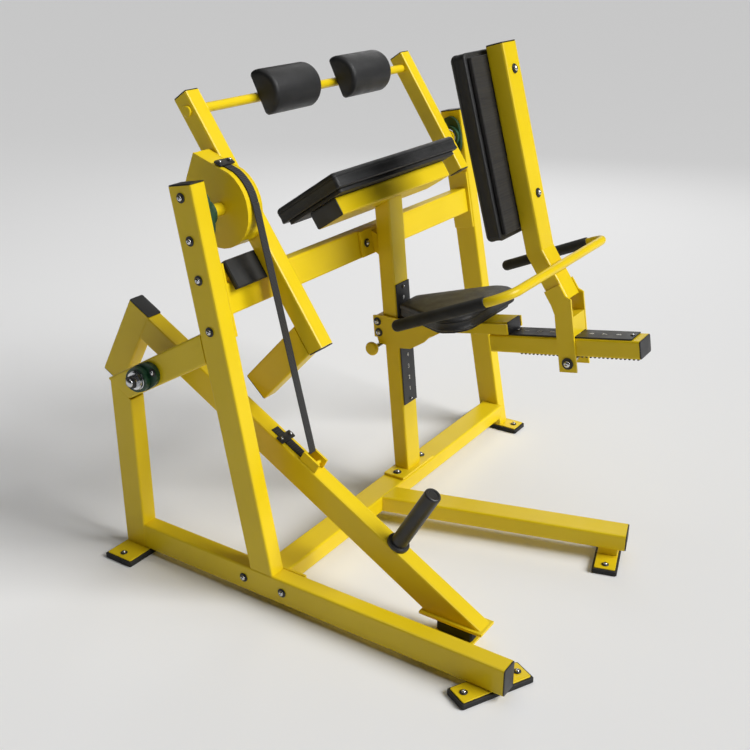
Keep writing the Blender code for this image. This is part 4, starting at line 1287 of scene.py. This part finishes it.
@dataclass
class Scales:
    """Digits on the two number plates."""

    datum: Datum
    height: float = 0.018

    def digits(self, name: str, body: str, count: int, first: Array, step: Array, right: Array,
               up: Array) -> None:
        """Lay the numbers 1 to count on a plate, each filled glyph a hair above its face.

        Args:
            name: Name of the piece.
            body: The body that it rides on.
            count: The last number.
            first: Middle of the first number.
            step: Step from number to number.
            right: Reading direction.
            up: Upward direction of a glyph.
        """
        out = np.cross(right, up)
        made = bpy.data.meshes.new(name)
        points, faces, count_points = [], [], 0
        for number in range(1, count + 1):
            curve = bpy.data.curves.new(f"{name}_{number}", "FONT")
            curve.body = str(number)
            curve.size = self.height
            curve.align_x = "CENTER"
            curve.align_y = "CENTER"
            curve.extrude = 0.0002
            glyph = bpy.data.objects.new(curve.name, curve)
            bpy.context.scene.collection.objects.link(glyph)
            bpy.context.view_layer.update()
            mesh = glyph.to_mesh()
            flat = np.empty(len(mesh.vertices) * 3)
            mesh.vertices.foreach_get("co", flat)
            flat = flat.reshape(-1, 3)
            place = first + step * (number - 1)
            points.append(place + flat[:, :1] * right + flat[:, 1:2] * up + flat[:, 2:] * out)
            faces += [[v + count_points for v in face.vertices] for face in mesh.polygons]
            count_points += len(flat)
            glyph.to_mesh_clear()
            bpy.data.objects.remove(glyph)
            bpy.data.curves.remove(curve)
        made.from_pydata(np.concatenate(points).tolist(), [], faces)
        made.materials.append(DIGIT_PAINT)
        piece = bpy.data.objects.new(name, made)
        bpy.context.scene.collection.objects.link(piece)
        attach(piece, body)
        LOG.info("%s: %d numbers", name, count)

    def build(self) -> None:
        """Number the seat's height scale and the backrest's reach scale."""
        d = self.datum
        front = -across(d.post)
        face = d.at(*d.post_foot) + front * (0.025 + GAP + 0.0040 + 0.0003)
        self.digits("seat_numbers", "frame", 9, face + d.post * 0.262, d.post * 0.036, X, d.post)
        up = across(d.beam)
        top = d.at(*d.beam_start) + up * (0.025 + GAP + 0.0040 + 0.0003)
        self.digits("back_numbers", "seat", 8, top + d.beam * 0.100, d.beam * 0.038, X, -d.beam)
        bolts = Fasteners(d)
        bolts.group("seat_plate", "frame",
                    [(face + d.post * s - front * 0.0003, front) for s in (0.230, 0.584)], 0.5)
        bolts.group("beam_plate", "seat",
                    [(top + d.beam * s - up * 0.0003, up) for s in (0.073, 0.403)], 0.5)


# ---------------------------------------------------------------- studio
@dataclass
class Studio:
    """Pale floor, soft lights and the camera."""

    datum: Datum
    eye: tuple = (-2.4753, -1.5127, 1.6625)
    pitch: float = 66.5381
    yaw: float = -56.4447
    lens: float = 50.0
    sky: float = 0.60
    horizon: float = 0.95
    reach: float = 60.0
    key_power: float = 3.3
    key_softness: float = 35.0
    key_height: float = 38.0
    key_turn: float = 14.0

    def floor(self) -> None:
        """A wide, flat, pale floor a hair under the feet."""
        span = np.linspace(-self.reach, self.reach, 3)
        grid_x, grid_y = np.meshgrid(span, span, indexing="ij")
        points = np.stack((grid_x, grid_y, np.full_like(grid_x, -0.001)), axis=-1)
        points = points.reshape(-1, 3)
        index = np.arange(9).reshape(3, 3)
        quads = np.stack((index[:-1, :-1], index[1:, :-1], index[1:, 1:], index[:-1, 1:]), -1)
        mesh = bpy.data.meshes.new("studio_floor")
        mesh.from_pydata(points.tolist(), [], quads.reshape(-1, 4).tolist())
        paint = bpy.data.materials.new("pale_floor")
        paint.use_nodes = True
        shader = paint.node_tree.nodes["Principled BSDF"]
        shader.inputs["Base Color"].default_value = (0.88, 0.88, 0.88, 1.0)
        shader.inputs["Roughness"].default_value = 0.9
        mesh.materials.append(paint)
        floor = bpy.data.objects.new("studio_floor", mesh)
        bpy.context.scene.collection.objects.link(floor)

    def key(self) -> None:
        """Even key light from behind the user: a wide soft sun."""
        lamp = bpy.data.lights.new("key_light", "SUN")
        lamp.energy = self.key_power
        lamp.angle = radians(self.key_softness)
        item = bpy.data.objects.new("key_light", lamp)
        bpy.context.scene.collection.objects.link(item)
        item.rotation_euler = (radians(90.0 - self.key_height), 0.0, radians(self.key_turn))

    def light(self, name: str, place: tuple, aim: tuple, size: float, power: float) -> None:
        """One square soft light.

        Args:
            name: Name of the light.
            place: Where it stands.
            aim: What it faces.
            size: Side of the square.
            power: Watts.
        """
        lamp = bpy.data.lights.new(name, "AREA")
        lamp.size = size
        lamp.energy = power
        item = bpy.data.objects.new(name, lamp)
        bpy.context.scene.collection.objects.link(item)
        item.location = place
        direction = bpy.data.objects.new(f"{name}_aim", None)
        bpy.context.scene.collection.objects.link(direction)
        direction.location = aim
        bpy.context.view_layer.update()
        turned = (direction.location - item.location).to_track_quat("-Z", "Y")
        item.rotation_euler = turned.to_euler()
        bpy.data.objects.remove(direction)

    def build(self) -> None:
        """Build the studio."""
        scene = bpy.context.scene
        self.floor()
        world = bpy.data.worlds.new("pale_studio")
        world.use_nodes = True
        sky = world.node_tree.nodes["Background"]
        tree = world.node_tree
        place = tree.nodes.new("ShaderNodeTexCoord")
        split = tree.nodes.new("ShaderNodeSeparateXYZ")
        fall = tree.nodes.new("ShaderNodeMapRange")
        fall.inputs["From Max"].default_value = 0.22
        fall.inputs["To Min"].default_value = self.horizon
        fall.inputs["To Max"].default_value = self.sky
        tree.links.new(place.outputs["Generated"], split.inputs["Vector"])
        tree.links.new(split.outputs["Z"], fall.inputs["Value"])
        tree.links.new(fall.outputs["Result"], sky.inputs["Strength"])
        scene.world = world
        scene.view_settings.view_transform = "Standard"
        self.key()
        self.light("fill_softbox", (4.0, 1.5, 2.6), (0.0, 0.0, 0.6), 2.6, 25.0)
        self.light("top_softbox", (0.0, 0.4, 4.4), (0.0, 0.0, 0.5), 3.0, 30.0)
        camera = bpy.data.cameras.new("studio_camera")
        camera.lens = self.lens
        item = bpy.data.objects.new("studio_camera", camera)
        scene.collection.objects.link(item)
        item.location = self.datum.at(*self.eye)
        item.rotation_euler = (radians(self.pitch), 0.0, radians(self.yaw))
        scene.camera = item


def dress_cad_nodes() -> None:
    """Give every CAD node the material of its slot."""
    for part in frame["record"]["subparts"]:
        node = frame["nodes"][part["node"]]
        node.data.materials.clear()
        node.data.materials.append(MATERIALS[part["material_slot"]])
        LOG.info("%s dressed in %s", node.name, part["material_slot"])


def main() -> None:
    """Dress the frame, then build every piece and the studio."""
    logging.basicConfig(level=logging.INFO, format="%(message)s")
    datum = Datum()
    dress_cad_nodes()
    for part in (Upholstery, RoundParts, BeltDrive, Feet, Scales, EndCaps, Fasteners):
        part(datum).build()
        LOG.info("%s done", part.__name__)
    Studio(datum).build()


if __name__ == "__main__":
    main()
